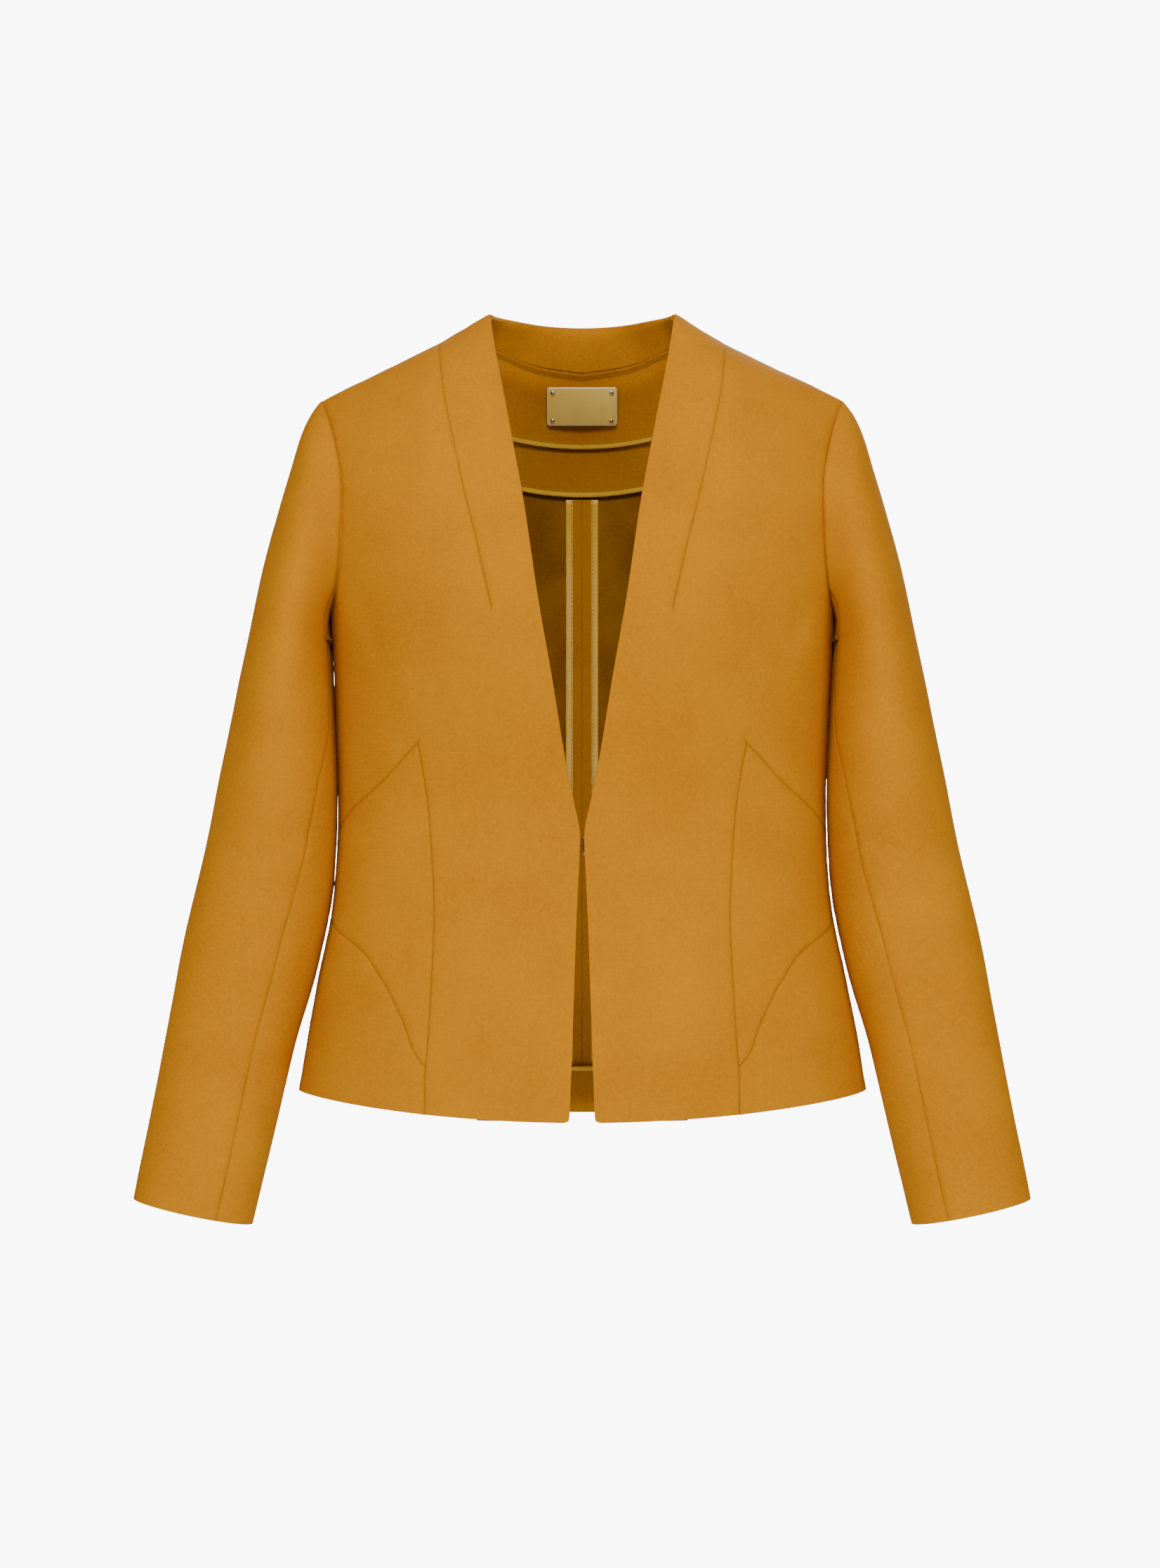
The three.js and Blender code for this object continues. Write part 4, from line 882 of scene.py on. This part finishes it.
def makeFront(name, side):
    lines = frontLines(side)
    dart, seamFoot = lines["dart"], lines["seamFoot"]
    rows = 90
    rowEase = 1.8
    upperShare = (round(rows * 0.71) / rows) ** rowEase
    down = [(j / rows) ** rowEase for j in range(rows + 1)]
    medial = spread(62)
    lateral = spread(98)
    dartFoot = at(side, neckDart(neckDartFoot), neckDartFoot)
    middle = chain(downLine(side, neckDart, -22.8, neckDartFoot), straight(dartFoot, dart), 0.68)
    edge = downLine(side, vEdge, 0, -dartLevel)
    outer = chain(downLine(side, armholeFront, -shoulderDrop, -armholeDepth),
                  sideSeam(side, -armholeDepth, -dartLevel), upperShare)
    upper = coons(shoulderEdge(side, neckHalf, neckHalf + 38), straight(edge(1), dart), edge, middle, medial, down)
    chest = coons(shoulderEdge(side, neckHalf + 38, shoulderHalf), straight(dart, lines["sideTop"]), middle, outer,
                  lateral, down)
    skirt = coons(straight(edge(1), dart), hemLine(lines["corner"], seamFoot, hemFront), cornered(side, lines),
                  lines["seamDown"](-dartLevel, seamFoot), medial, spread(276, first=False))
    wedge = coons(straight(dart, lines["sideTop"]), lines["waistSeam"], lambda t: dart,
                  straight(lines["sideTop"], lines["waistSide"]), lateral, spread(73, first=False))
    panel = makeSheet(name + "_front_panel", [upper, chest, skirt, wedge], frontSurface, bodyCore, folds=bodyFolds)
    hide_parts(name + "_front_yoke_panel", name + "_front_opening_panel")
    finishSheet(panel, outerCloth, "cloth")
    blendFold(panel)

    across = spread(104)
    sideFront = makeSheet(name + "_side_front_panel",
                          [coons(lines["waistSeam"], lines["hipSeam"],
                                 lines["seamDown"](-dartLevel, lines["hipCorner"]),
                                 straight(lines["waistSide"], lines["hipSide"]), across, spread(130))],
                          frontSurface, bodyCore, folds=bodyFolds)
    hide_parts(name + "_side_front_panel")
    hip = makeSheet(name + "_hip_panel",
                    [coons(lines["hipSeam"], hemLine(seamFoot, lines["hemSide"], hemFront),
                           lines["seamDown"](hipSeamInner, seamFoot),
                           straight(lines["hipSide"], lines["hemSide"]), across, spread(118))],
                    frontSurface, bodyCore, folds=bodyFolds)
    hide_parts(name + "_hip_panel")
    for piece in (sideFront, hip):
        finishSheet(piece, outerCloth, "cloth")
        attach(piece, "torso")


facing = {"top": 3, "hemTurn": 32, "edge": 2.3, "settle": 4.4}
facingReach = profile([(0, 24), (-160, 30), (-300, 60), (-hookLevel, 68), (-bodyLength, 68)])


def frontFacingDepth(p, q):
    x = abs(halfWidth(q) * math.sin(p))
    near = min(ease(0, 7, x - vEdge(q)), ease(1, 8, q - hemFront(p)))
    return mix(facing["edge"], facing["settle"], near)


def hemFacingDepth(p, q):
    return mix(facing["edge"], facing["settle"], ease(1, 8, q - hemFront(p)))


def makeFrontFacings(name, side):
    innerEdge = lambda z: vEdge(z) + 0.7
    outerEdge = lambda z: vEdge(z) + facingReach(z)
    tops = [shoulderLine(neckHalf + d) - facing["top"] for d in (0.7, 24)]
    foot = -bodyLength + 1.2
    row = lambda z0, z1: straight(at(side, innerEdge(z0), z0), at(side, outerEdge(z1), z1))
    grid = coons(row(*tops), row(foot, foot), downLine(side, innerEdge, tops[0], foot),
                 downLine(side, outerEdge, tops[1], foot), spread(60), spread(590))
    piece = makeSheet(name + "_front_lining_facing", [grid],
                      inside(frontSurface, bodyCore, frontFacingDepth), bodyCore)
    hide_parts(name + "_front_facing", name + "_neck_front_facing")
    finishSheet(piece, size["facingCloth"], "facing")
    blendFold(piece)

    lines = frontLines(side)
    start, end = lines["seamFoot"][0], lines["hemSide"][0]
    top = lambda t: (mix(start, end, t), hemFront(mix(start, end, t)) + facing["hemTurn"])
    low = lambda t: (mix(start, end, t), hemFront(mix(start, end, t)) + 1.2)
    up = lambda a: (lambda t: (a, hemFront(a) + mix(facing["hemTurn"], 1.2, t)))
    turned = makeSheet(name + "_hip_hem_facing", [coons(top, low, up(start), up(end), spread(130), spread(31))],
                       inside(frontSurface, bodyCore, hemFacingDepth), bodyCore)
    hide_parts(name + "_hip_hem_facing")
    finishSheet(turned, size["facingCloth"], "facing")
    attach(turned, "torso")


def makeBack(name, side):
    across = sorted(set(spread(214) + [0.5]))
    rows = 50
    top = chain(lambda t: at(side, mix(0, collarSeamHalf, t), backNeck(mix(0, collarSeamHalf, t))),
                shoulderEdge(side, collarSeamHalf, shoulderHalf), 0.5)
    foot = (aroundAt(side * backPrincess(-bodyLength), -bodyLength),
            hemBack(aroundAt(side * backPrincess(-bodyLength), -bodyLength)))
    princess = lambda t: at(side, backPrincess(mix(princessTop, foot[1], t)), mix(princessTop, foot[1], t)) \
        if t < 1 else foot
    centre = (0, princessTop)
    upper = coons(top, straight(centre, princess(0)), straight(top(0), centre),
                  downLine(side, armholeBack, -shoulderDrop, princessTop), across,
                  [(j / rows) ** 1.6 for j in range(rows + 1)])
    seamRows = spread(430, first=False)
    lower = coons(straight(centre, princess(0)), hemLine((0, 0), foot, hemBack), straight(centre, (0, hemBack(0))),
                  princess, across, seamRows)
    panel = makeSheet(name + "_back_panel", [upper, lower], backSurface, bodyCore, folds=bodyFolds)
    sideFoot = (side * quarter, hemBack(quarter))
    underarm = (side * quarter, -armholeDepth)
    arm = lambda t: downLine(side, armholeBack, princessTop, -armholeDepth)(t) if t < 1 else underarm
    sideBack = makeSheet(name + "_side_back_panel",
                         [coons(arm, hemLine(foot, sideFoot, hemBack), princess, straight(underarm, sideFoot),
                                spread(120), seamRows)], backSurface, bodyCore, folds=bodyFolds)
    for piece in (panel, sideBack):
        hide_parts(nodeName(piece))
        finishSheet(piece, outerCloth, "cloth")
        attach(piece, "torso")


def collarPoint(around, up):
    x = collarSeamHalf * math.sin(around)
    seamZ = backNeck(abs(x))
    seam = backSurface(aroundAt(x, seamZ), seamZ)
    topX = (neckHalf - 2) * math.sin(around)
    topZ = -size["backNeckDrop"] + size["collarStand"] + size["backNeckDrop"] * 0.11 * (abs(topX) / neckHalf) ** 2
    topY = max(seam[1] - 9 * math.cos(around), 0)
    return (mix(seam[0], topX, up), mix(seam[1], topY, up), mix(seam[2], topZ, up))


def collarSurface(p, q):
    return collarPoint(p, q / 100)


def collarCore(p, q):
    return (0, -20, -20)


def makeCollar():
    def band(low, high):
        return coons(lambda t: (mix(-quarter, quarter, t), high), lambda t: (mix(-quarter, quarter, t), low),
                     lambda t: (-quarter, mix(high, low, t)), lambda t: (quarter, mix(high, low, t)),
                     spread(190), spread(32))
    outer = makeSheet("back_collar", [band(0, 99)], collarSurface, collarCore, uvScale=(62, 0.32))
    depth = lambda p, q: mix(3.0, 2.25, ease(86, 98, q))
    inner = makeSheet("back_collar_facing", [band(-4, 98)], inside(collarSurface, collarCore, depth), collarCore,
                      uvScale=(62, 0.32))
    for piece, thick in ((outer, outerCloth), (inner, size["facingCloth"])):
        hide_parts(nodeName(piece))
        finishSheet(piece, thick, "cloth", wrongSide=False)
        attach(piece, "torso")


layers = {"yoke": 4.4, "neck": 7.5, "yokeHalf": 86, "neckHalf": 84, "yokeDepth": 127, "neckDepth": 89,
          "binding": 6, "bindingThick": 1.9, "stitch": 2.1, "stitchGap": 1.1, "thread": 0.34}


def yokeFoot(x):
    return -layers["yokeDepth"] + 5 * (x / 50) ** 2


def neckFoot(x):
    return -layers["neckDepth"] + 6 * (x / 56) ** 2


def stripGrid(start, end, top, foot, across, down):
    edge = lambda z: (lambda t: at(1, mix(start, end, t), z(mix(start, end, t))))
    upright = lambda x: (lambda t: at(1, x, mix(top(x), foot(x), t)))
    return coons(edge(top), edge(foot), upright(start), upright(end), across, down)


def neckLayer(p, q):
    x = abs(halfWidth(q) * math.sin(p))
    fromTop = backNeck(min(x, collarSeamHalf)) - q
    return mix(3.0, layers["neck"], min(ease(0, 16, fromTop), 1))


def stitchRow(name, surface, edge, length, inward):
    # a row of thread stitches lying on a surface, each a short rounded bar
    bm = bmesh.new()
    pitch = layers["stitch"] + layers["stitchGap"]
    count = int(length / pitch)
    radius = layers["thread"]
    for i in range(count):
        ends = [Vector(surface(*edge((i + share) * pitch / length))) for share in (0.1, 0.75)]
        along = (ends[1] - ends[0]).normalized()
        out = inward(*edge((i + 0.4) * pitch / length))
        across = along.cross(out).normalized()
        rings = []
        for share, grow in ((0, 0.35), (0.14, 1), (0.86, 1), (1, 0.35)):
            centre = ends[0].lerp(ends[1], share) + out * (radius * (0.35 if 0 < share < 1 else -0.6))
            rings.append([bm.verts.new((centre + (across * math.cos(a) + out * math.sin(a)) * radius * grow) * mm)
                          for a in (k * math.pi / 3 for k in range(6))])
        for a, b in zip(rings, rings[1:]):
            for k in range(6):
                bm.faces.new((a[k], a[(k + 1) % 6], b[(k + 1) % 6], b[k]))
        bm.faces.new(list(reversed(rings[0])))
        bm.faces.new(rings[-1])
    bmesh.ops.recalc_face_normals(bm, faces=bm.faces)
    mesh = bpy.data.meshes.new(name)
    bm.to_mesh(mesh)
    bm.free()
    obj = bpy.data.objects.new(name, mesh)
    bpy.context.collection.objects.link(obj)
    mesh.materials.append(materials["thread"])
    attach(obj, "torso")
    return obj


def makeBinding(name, edge, length, depth, stitchSide, replaced=None, width=None):
    # a folded bias strip along an edge: edge(t) is its middle line, in surface parameters of the back
    width = width or layers["binding"]
    thick = layers["bindingThick"]
    steps = max(int(length / 3.5), 2)
    ring = 14
    bm = bmesh.new()
    rings = []
    uvOf = {}
    for i in range(steps + 1):
        t = i / steps
        p, q = edge(t)
        here = Vector(backSurface(p, q))
        out = -normalAt(backSurface, bodyCore, p, q)
        ahead = Vector(backSurface(*edge(min(t + 0.004, 1)))) - Vector(backSurface(*edge(max(t - 0.004, 0))))
        across = ahead.normalized().cross(out).normalized()
        centre = here + out * (depth + thick / 2)
        turn = []
        for k in range(ring):
            a = 2 * math.pi * k / ring
            c, s = math.cos(a), math.sin(a)
            wave = 1 + 0.05 * noise.noise(Vector((i * 0.9, k, depth)))
            flatX = math.copysign(abs(c) ** 0.55, c) * width / 2 * wave
            flatY = math.copysign(abs(s) ** 0.8, s) * thick / 2
            groove = 0.5 * math.exp(-((flatX - stitchSide * (width / 2 - 1.3)) / 0.9) ** 2) if s > 0 else 0
            vertex = bm.verts.new((centre + across * flatX + out * (flatY - groove)) * mm)
            uvOf[vertex] = (t * length * mm, k / ring * 14 * mm)
            turn.append(vertex)
        rings.append(turn)
    for a, b in zip(rings, rings[1:]):
        for k in range(ring):
            bm.faces.new((a[k], a[(k + 1) % ring], b[(k + 1) % ring], b[k]))
    bm.faces.new(list(reversed(rings[0])))
    bm.faces.new(rings[-1])
    bmesh.ops.recalc_face_normals(bm, faces=bm.faces)
    layer = bm.loops.layers.uv.new("UVMap")
    for face in bm.faces:
        face.smooth = True
        for loop in face.loops:
            loop[layer].uv = uvOf[loop.vert]
    mesh = bpy.data.meshes.new(name)
    bm.to_mesh(mesh)
    bm.free()
    obj = bpy.data.objects.new(name + "_strip", mesh)
    bpy.context.collection.objects.link(obj)
    mesh.materials.append(materials["binding"])
    if replaced:
        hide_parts(replaced)
    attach(obj, "torso")

    def stitchPlace(p, q):
        return Vector(backSurface(p, q)) - normalAt(backSurface, bodyCore, p, q) * (depth + thick - 0.35)

    def stitchEdge(t):
        p, q = edge(min(max(t, 0), 1))
        a = edge(min(t + 0.004, 1))
        b = edge(max(t - 0.004, 0))
        dp, dq = (a[0] - b[0]) * 190, a[1] - b[1]
        long = math.hypot(dp, dq) or 1
        shift = stitchSide * (width / 2 - 1.3)
        return (p + dq / long * shift / 190, q - dp / long * shift)
    row = stitchRow(name + "_stitches", stitchPlace, stitchEdge, length,
                    lambda p, q: -normalAt(backSurface, bodyCore, p, q))
    return obj, row


def makeBackInside():
    gap = layers["binding"] / 2
    bound = {}
    half = layers["yokeHalf"]
    bound["yoke"] = makeBinding("yoke_binding",
                                lambda t: at(1, mix(-half, half, t), yokeFoot(mix(-half, half, t)) - gap + 2),
                                2 * half * 1.05, layers["yoke"] - 0.2, -1, "yoke_binding")
    yoke = makeSheet("back_yoke_facing", [stripGrid(-half, half, lambda x: backNeck(abs(x)) - 1.5, yokeFoot,
                                                    spread(190), spread(110))],
                     inside(backSurface, bodyCore, layers["yoke"]), bodyCore)
    half = layers["neckHalf"]
    bound["neck"] = makeBinding("neck_facing_binding",
                                lambda t: at(1, mix(-half, half, t), neckFoot(mix(-half, half, t)) - gap + 2),
                                2 * half * 1.06, layers["neck"] - 0.2, -1, "neck_facing_binding")
    neck = makeSheet("back_neck_facing", [stripGrid(-half, half, lambda x: backNeck(abs(x)) - 0.4, neckFoot,
                                                    spread(180), spread(60))],
                     inside(backSurface, bodyCore, neckLayer), bodyCore)
    for piece, key, material in ((yoke, "yoke", "facing"), (neck, "neck", "cloth")):
        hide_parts(nodeName(piece))
        finishSheet(piece, size["facingCloth"], material, wrongSide=False)
        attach(piece, "torso")

    seamTop, seamFoot = -layers["yokeDepth"] - 6, hemBackLevel + 4
    for name, side in sides.items():
        start, end = sorted((side * 0.35, side * 11))
        allowance = makeSheet(name + "_centre_seam_allowance",
                              [stripGrid(start, end, lambda x: seamTop, lambda x: seamFoot, [0, 0.12, 0.5, 0.88, 1],
                                         spread(480))],
                              inside(backSurface, bodyCore, lambda p, q: 3.1 + 0.5 * ease(0, 3, abs(p) * 190)),
                              bodyCore)
        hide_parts(nodeName(allowance))
        finishSheet(allowance, 1.1, "facing", wrongSide=False)
        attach(allowance, "torso")
        makeBinding(name + "_centre_seam_binding", lambda t, side=side: at(1, side * 10, mix(seamTop, seamFoot, t)),
                    480, layers["yoke"] - 1.0, side, name + "_centre_seam_binding", 5.6)

    reach = 0.9 * quarter
    turn = 33
    hemRow = lambda raised: (lambda t: (mix(-reach, reach, t), hemBack(mix(-reach, reach, t)) + raised))
    upright = lambda a: (lambda t: (a, hemBack(a) + mix(turn, 1.2, t)))
    depth = lambda p, q: mix(2.3, 6.8, ease(1, 9, q - hemBack(p)))
    hem = makeSheet("back_hem_facing", [coons(hemRow(turn), hemRow(1.2), upright(-reach), upright(reach),
                                              spread(400), spread(32))],
                    inside(backSurface, bodyCore, depth), bodyCore)
    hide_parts("back_hem_facing")
    finishSheet(hem, size["facingCloth"], "facing")
    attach(hem, "torso")
    makeBinding("back_hem_binding", hemRow(turn + 1), 405, 6.4, 1, "back_hem_binding")


def makeSleeve(name, side):
    def surface(theta, station):
        x, y, z = sleevePoint(theta, station)
        return (side * x, y, z)

    def core(theta, station):
        a, b = sleevePoint(0, station), sleevePoint(math.pi, station)
        return (side * (a[0] + b[0]) / 2, (a[1] + b[1]) / 2, (a[2] + b[2]) / 2)
    frontSeam = lambda s: math.radians(frontSleeveSeam(s))
    backSeam = lambda s: math.radians(backSleeveSeam(s))
    seamOf = {"top": (backSeam, frontSeam), "under": (frontSeam, lambda s: backSeam(s) + 2 * math.pi)}
    join = sleeve["joinStation"]

    def grid(which, start, end, width, rows):
        low, high = seamOf[which]
        return coons(lambda t: (mix(low(start), high(start), t), start), lambda t: (mix(low(end), high(end), t), end),
                     lambda t: (low(mix(start, end, t)), mix(start, end, t)),
                     lambda t: (high(mix(start, end, t)), mix(start, end, t)), spread(width), rows)
    upperRows = spread(330, last=False)
    lowerRows = spread(320, first=False)
    ring = Vector((side * (inX(join) + outX(join)) / 2, 0, (inZ(join) + outZ(join)) / 2)) * mm
    made = {}
    for part, start, end, rows in (("upper", 0, join, upperRows), ("lower", join, lastStation, lowerRows)):
        for which, width in (("top", 220), ("under", 110)):
            key = which + "_sleeve_" + part
            grids = [grid(which, start, end, width, rows)]
            if part == "upper":
                grids.append(grid(which, -1, 0, width, [0, 0.35, 0.75, 1]))
            piece = makeSheet(name + "_" + key, grids, surface, core,
                              uvScale=(52, 48), folds=sleeveFolds)
            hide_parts(nodeName(piece))
            finishSheet(piece, outerCloth, "cloth")
            made[key] = piece
    for key in ("top_sleeve_upper", "under_sleeve_upper"):
        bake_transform(made[key])
    for key in ("top_sleeve_lower", "under_sleeve_lower"):
        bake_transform(made[key])

    # cuff facing, which meets the cloth at the cuff's edge
    ringTop = lastStation - sleeve["cuffFacing"] / (sleeve["end"] * 0.15 * 0.94 * 0.68)
    rows = [[(2 * math.pi * i / 72, mix(ringTop, lastStation - 0.02, j / 12)) for i in range(72)] for j in range(13)]
    depth = lambda p, q: mix(2.3, 4.4, ease(0.02, 0.16, lastStation - q))
    cuff = makeSheet(name + "_cuff_facing", [rows], inside(surface, core, depth), core, uvScale=(40, 60), closed=True)
    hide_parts(nodeName(cuff))
    finishSheet(cuff, size["facingCloth"], "facing")
    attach(cuff, name + "_lower_sleeve")

    # wadding that rolls the sleeve cap, a padded strip inside the seam
    head = coons(lambda t: (mix(-0.85, 0.85, t), 0.35), lambda t: (mix(-0.6, 0.6, t), 2.4),
                 lambda t: (mix(-0.85, -0.6, t), mix(0.35, 2.4, t)), lambda t: (mix(0.85, 0.6, t), mix(0.35, 2.4, t)),
                 spread(90), spread(34))
    roll = makeSheet(name + "_sleeve_head", [head], inside(surface, core, 4.6), core, uvScale=(60, 15))
    thicken = roll.modifiers.new("loft", "SOLIDIFY")
    thicken.thickness = 3 * mm
    thicken.offset = -1
    applyModifiers(roll)
    roll.data.materials.append(materials["wadding"])
    bpy.ops.object.shade_smooth()
    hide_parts(nodeName(roll))
    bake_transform(roll)


pad = {"voxel": 0.0045, "shrink": 0.0016, "pressure": 4.0, "frames": 20, "cap": 0.004}


def makePad(name):
    # wadding sewn in a thin cover: swollen by a short cloth simulation, and capped
    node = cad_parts[name + "_shoulder_pad"]
    mesh = node.data.copy()
    mesh.materials.clear()
    obj = bpy.data.objects.new(name + "_shoulder_pad_soft", mesh)
    bpy.context.collection.objects.link(obj)
    selectOnly(obj)
    bpy.ops.object.mode_set(mode="EDIT")
    bpy.ops.mesh.select_all(action="SELECT")
    bpy.ops.mesh.remove_doubles(threshold=0.00002)
    bpy.ops.object.mode_set(mode="OBJECT")
    remesh = obj.modifiers.new("remesh", "REMESH")
    remesh.mode = "VOXEL"
    remesh.voxel_size = pad["voxel"]
    applyModifiers(obj)
    for v in mesh.vertices:
        v.co -= v.normal * pad["shrink"]
    before = [v.co.copy() for v in mesh.vertices]
    scene = bpy.context.scene
    soft = obj.modifiers.new("loft", "CLOTH")
    soft.settings.use_pressure = True
    soft.settings.uniform_pressure_force = pad["pressure"]
    soft.settings.effector_weights.gravity = 0
    soft.settings.quality = 4
    for step in range(1, pad["frames"] + 1):
        scene.frame_set(step)
    applyModifiers(obj)
    scene.frame_set(1)
    for v, was in zip(obj.data.vertices, before):
        move = v.co - was
        if move.length > pad["cap"]:
            v.co = was + move.normalized() * pad["cap"]
    round_ = obj.modifiers.new("round", "SUBSURF")
    round_.levels = 1
    round_.render_levels = 1
    applyModifiers(obj)
    bpy.ops.object.shade_smooth()
    obj.data.materials.append(materials["wadding"])
    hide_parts(name + "_shoulder_pad")
    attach(obj, "torso")


plate = {"width": 54, "height": 32, "thick": 1.2, "level": 57, "corner": 2.2, "rim": 1.0, "rivet": 1.75,
         "rivetHeight": 1.3, "inset": 4.3, "settle": 4.0}


def plateFrame():
    z = -plate["level"]
    normal = normalAt(backSurface, bodyCore, 0, z)
    normal.x = 0
    normal.normalize()
    depth = layers["neck"] + size["facingCloth"] + plate["settle"] + plate["thick"] / 2
    centre = Vector(backSurface(0, z)) - normal * depth
    across = Vector((1, 0, 0))
    return centre, across, across.cross(normal).normalized(), -normal


def toFrame(obj, centre, across, up, out):
    # lays a mesh made flat at the origin on the plate's plane, in metres
    for v in obj.data.vertices:
        v.co = (centre + across * v.co.x + up * v.co.y + out * v.co.z) * mm
    obj.data.update()
    obj.location = (0, 0, 0)
    obj.rotation_euler = (0, 0, 0)
    obj.scale = (1, 1, 1)


def bevelled(obj, width, segments, angle=30):
    bevel = obj.modifiers.new("edges", "BEVEL")
    bevel.width = width
    bevel.segments = segments
    bevel.limit_method = "ANGLE"
    bevel.angle_limit = math.radians(angle)
    applyModifiers(obj)


def makePlate():
    frameAt = plateFrame()
    pieces = []
    for name, grow, thick, low, material in (("label_plate_rim", 0, plate["thick"], -plate["thick"] / 2, "rim"),
                                             ("label_plate_face", -plate["rim"], 0.5, plate["thick"] / 2 - 0.3,
                                              "plate")):
        bpy.ops.object.select_all(action="DESELECT")
        bpy.ops.mesh.primitive_cube_add(size=1)
        obj = bpy.context.object
        obj.name = name
        obj.data.name = name
        w, h = plate["width"] + 2 * grow, plate["height"] + 2 * grow
        for v in obj.data.vertices:
            v.co = (v.co.x * w, v.co.y * h, low + (v.co.z + 0.5) * thick)
        bpy.ops.object.mode_set(mode="EDIT")
        bpy.ops.mesh.select_all(action="DESELECT")
        bpy.ops.mesh.select_mode(type="EDGE")
        bm = bmesh.from_edit_mesh(obj.data)
        for edge in bm.edges:
            a, b = edge.verts
            edge.select = abs(a.co.z - b.co.z) > 0.1
        bmesh.update_edit_mesh(obj.data)
        bpy.ops.mesh.bevel(offset=plate["corner"] + grow, segments=8, affect="EDGES")
        bpy.ops.object.mode_set(mode="OBJECT")
        bevelled(obj, 0.22, 3)
        selectOnly(obj)
        bpy.ops.object.shade_smooth_by_angle(angle=math.radians(35))
        toFrame(obj, *frameAt)
        obj.data.materials.append(materials[material])
        pieces.append(obj)
    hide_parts("label_plate")
    count = 0
    for cx in (-1, 1):
        for cy in (-1, 1):
            count += 1
            bpy.ops.object.select_all(action="DESELECT")
            bpy.ops.mesh.primitive_uv_sphere_add(segments=24, ring_count=12, radius=1)
            obj = bpy.context.object
            obj.name = "rivet_head_%d" % count
            obj.data.name = obj.name
            bpy.ops.object.mode_set(mode="EDIT")
            bpy.ops.mesh.select_all(action="SELECT")
            bpy.ops.mesh.bisect(plane_co=(0, 0, 0), plane_no=(0, 0, 1), clear_inner=True, use_fill=True)
            bpy.ops.object.mode_set(mode="OBJECT")
            x = cx * (plate["width"] / 2 - plate["inset"])
            y = cy * (plate["height"] / 2 - plate["inset"])
            for v in obj.data.vertices:
                v.co = (x + v.co.x * plate["rivet"], y + v.co.y * plate["rivet"],
                        plate["thick"] / 2 + 0.2 + v.co.z * plate["rivetHeight"])
            selectOnly(obj)
            bpy.ops.object.shade_smooth_by_angle(angle=math.radians(40))
            toFrame(obj, *frameAt)
            obj.data.materials.append(materials["wire"])
            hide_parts("plate_rivet_%d" % count)
            pieces.append(obj)
    for obj in pieces:
        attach(obj, "torso")


wire = {"radius": 0.8, "eyeHeight": 14, "hookHeight": 8, "reach": 11, "bend": 2.0}


def makeWire(name, side, tip, height, body, node):
    z = -hookLevel - wire["eyeHeight"] / 2 + 1
    y = frontSurface(0, z)[1] + outerCloth + size["innerGap"] + size["facingCloth"] + wire["radius"] + 1.2
    half = height / 2 - wire["radius"]
    bend = wire["bend"]
    route = [(tip + wire["reach"], half)]
    for k in range(9):
        a = math.pi / 2 * k / 8
        route.append((tip + bend - bend * math.sin(a), half - bend + bend * math.cos(a)))
    for k in range(9):
        a = math.pi / 2 * k / 8
        route.append((tip + bend - bend * math.cos(a), -half + bend - bend * math.sin(a)))
    route.append((tip + wire["reach"], -half))
    curve = bpy.data.curves.new(name, "CURVE")
    curve.dimensions = "3D"
    curve.bevel_depth = wire["radius"] * mm
    curve.bevel_resolution = 4
    curve.use_fill_caps = True
    spline = curve.splines.new("POLY")
    spline.points.add(len(route) - 1)
    for point, (x, dz) in zip(spline.points, route):
        point.co = (side * x * mm, y * mm, (z + dz) * mm, 1)
    obj = bpy.data.objects.new(name, curve)
    bpy.context.collection.objects.link(obj)
    selectOnly(obj)
    bpy.ops.object.convert(target="MESH")
    obj = bpy.context.object
    bpy.ops.object.shade_smooth()
    obj.data.materials.append(materials["wire"])
    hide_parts(node)
    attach(obj, body)


for name, side in sides.items():
    makeFront(name, side)
    print(name, "front panels made")
    makeFrontFacings(name, side)
    makeBack(name, side)
    print(name, "back panels made")
    makeSleeve(name, side)
    print(name, "sleeve made")
    makePad(name)
    print(name, "shoulder pad made")
makeCollar()
makeBackInside()
print("collar and inside of the back made")
makePlate()
makeWire("eye_loop", 1, 0.2, wire["eyeHeight"], "left_front", "front_eye")
makeWire("hook_loop", -1, 0.2 + 2 * wire["radius"] + 0.6, wire["hookHeight"], "right_front", "front_hook")
print("plate, hook and eye made")
for name in sorted(flats):
    print("flat", name, flats[name])
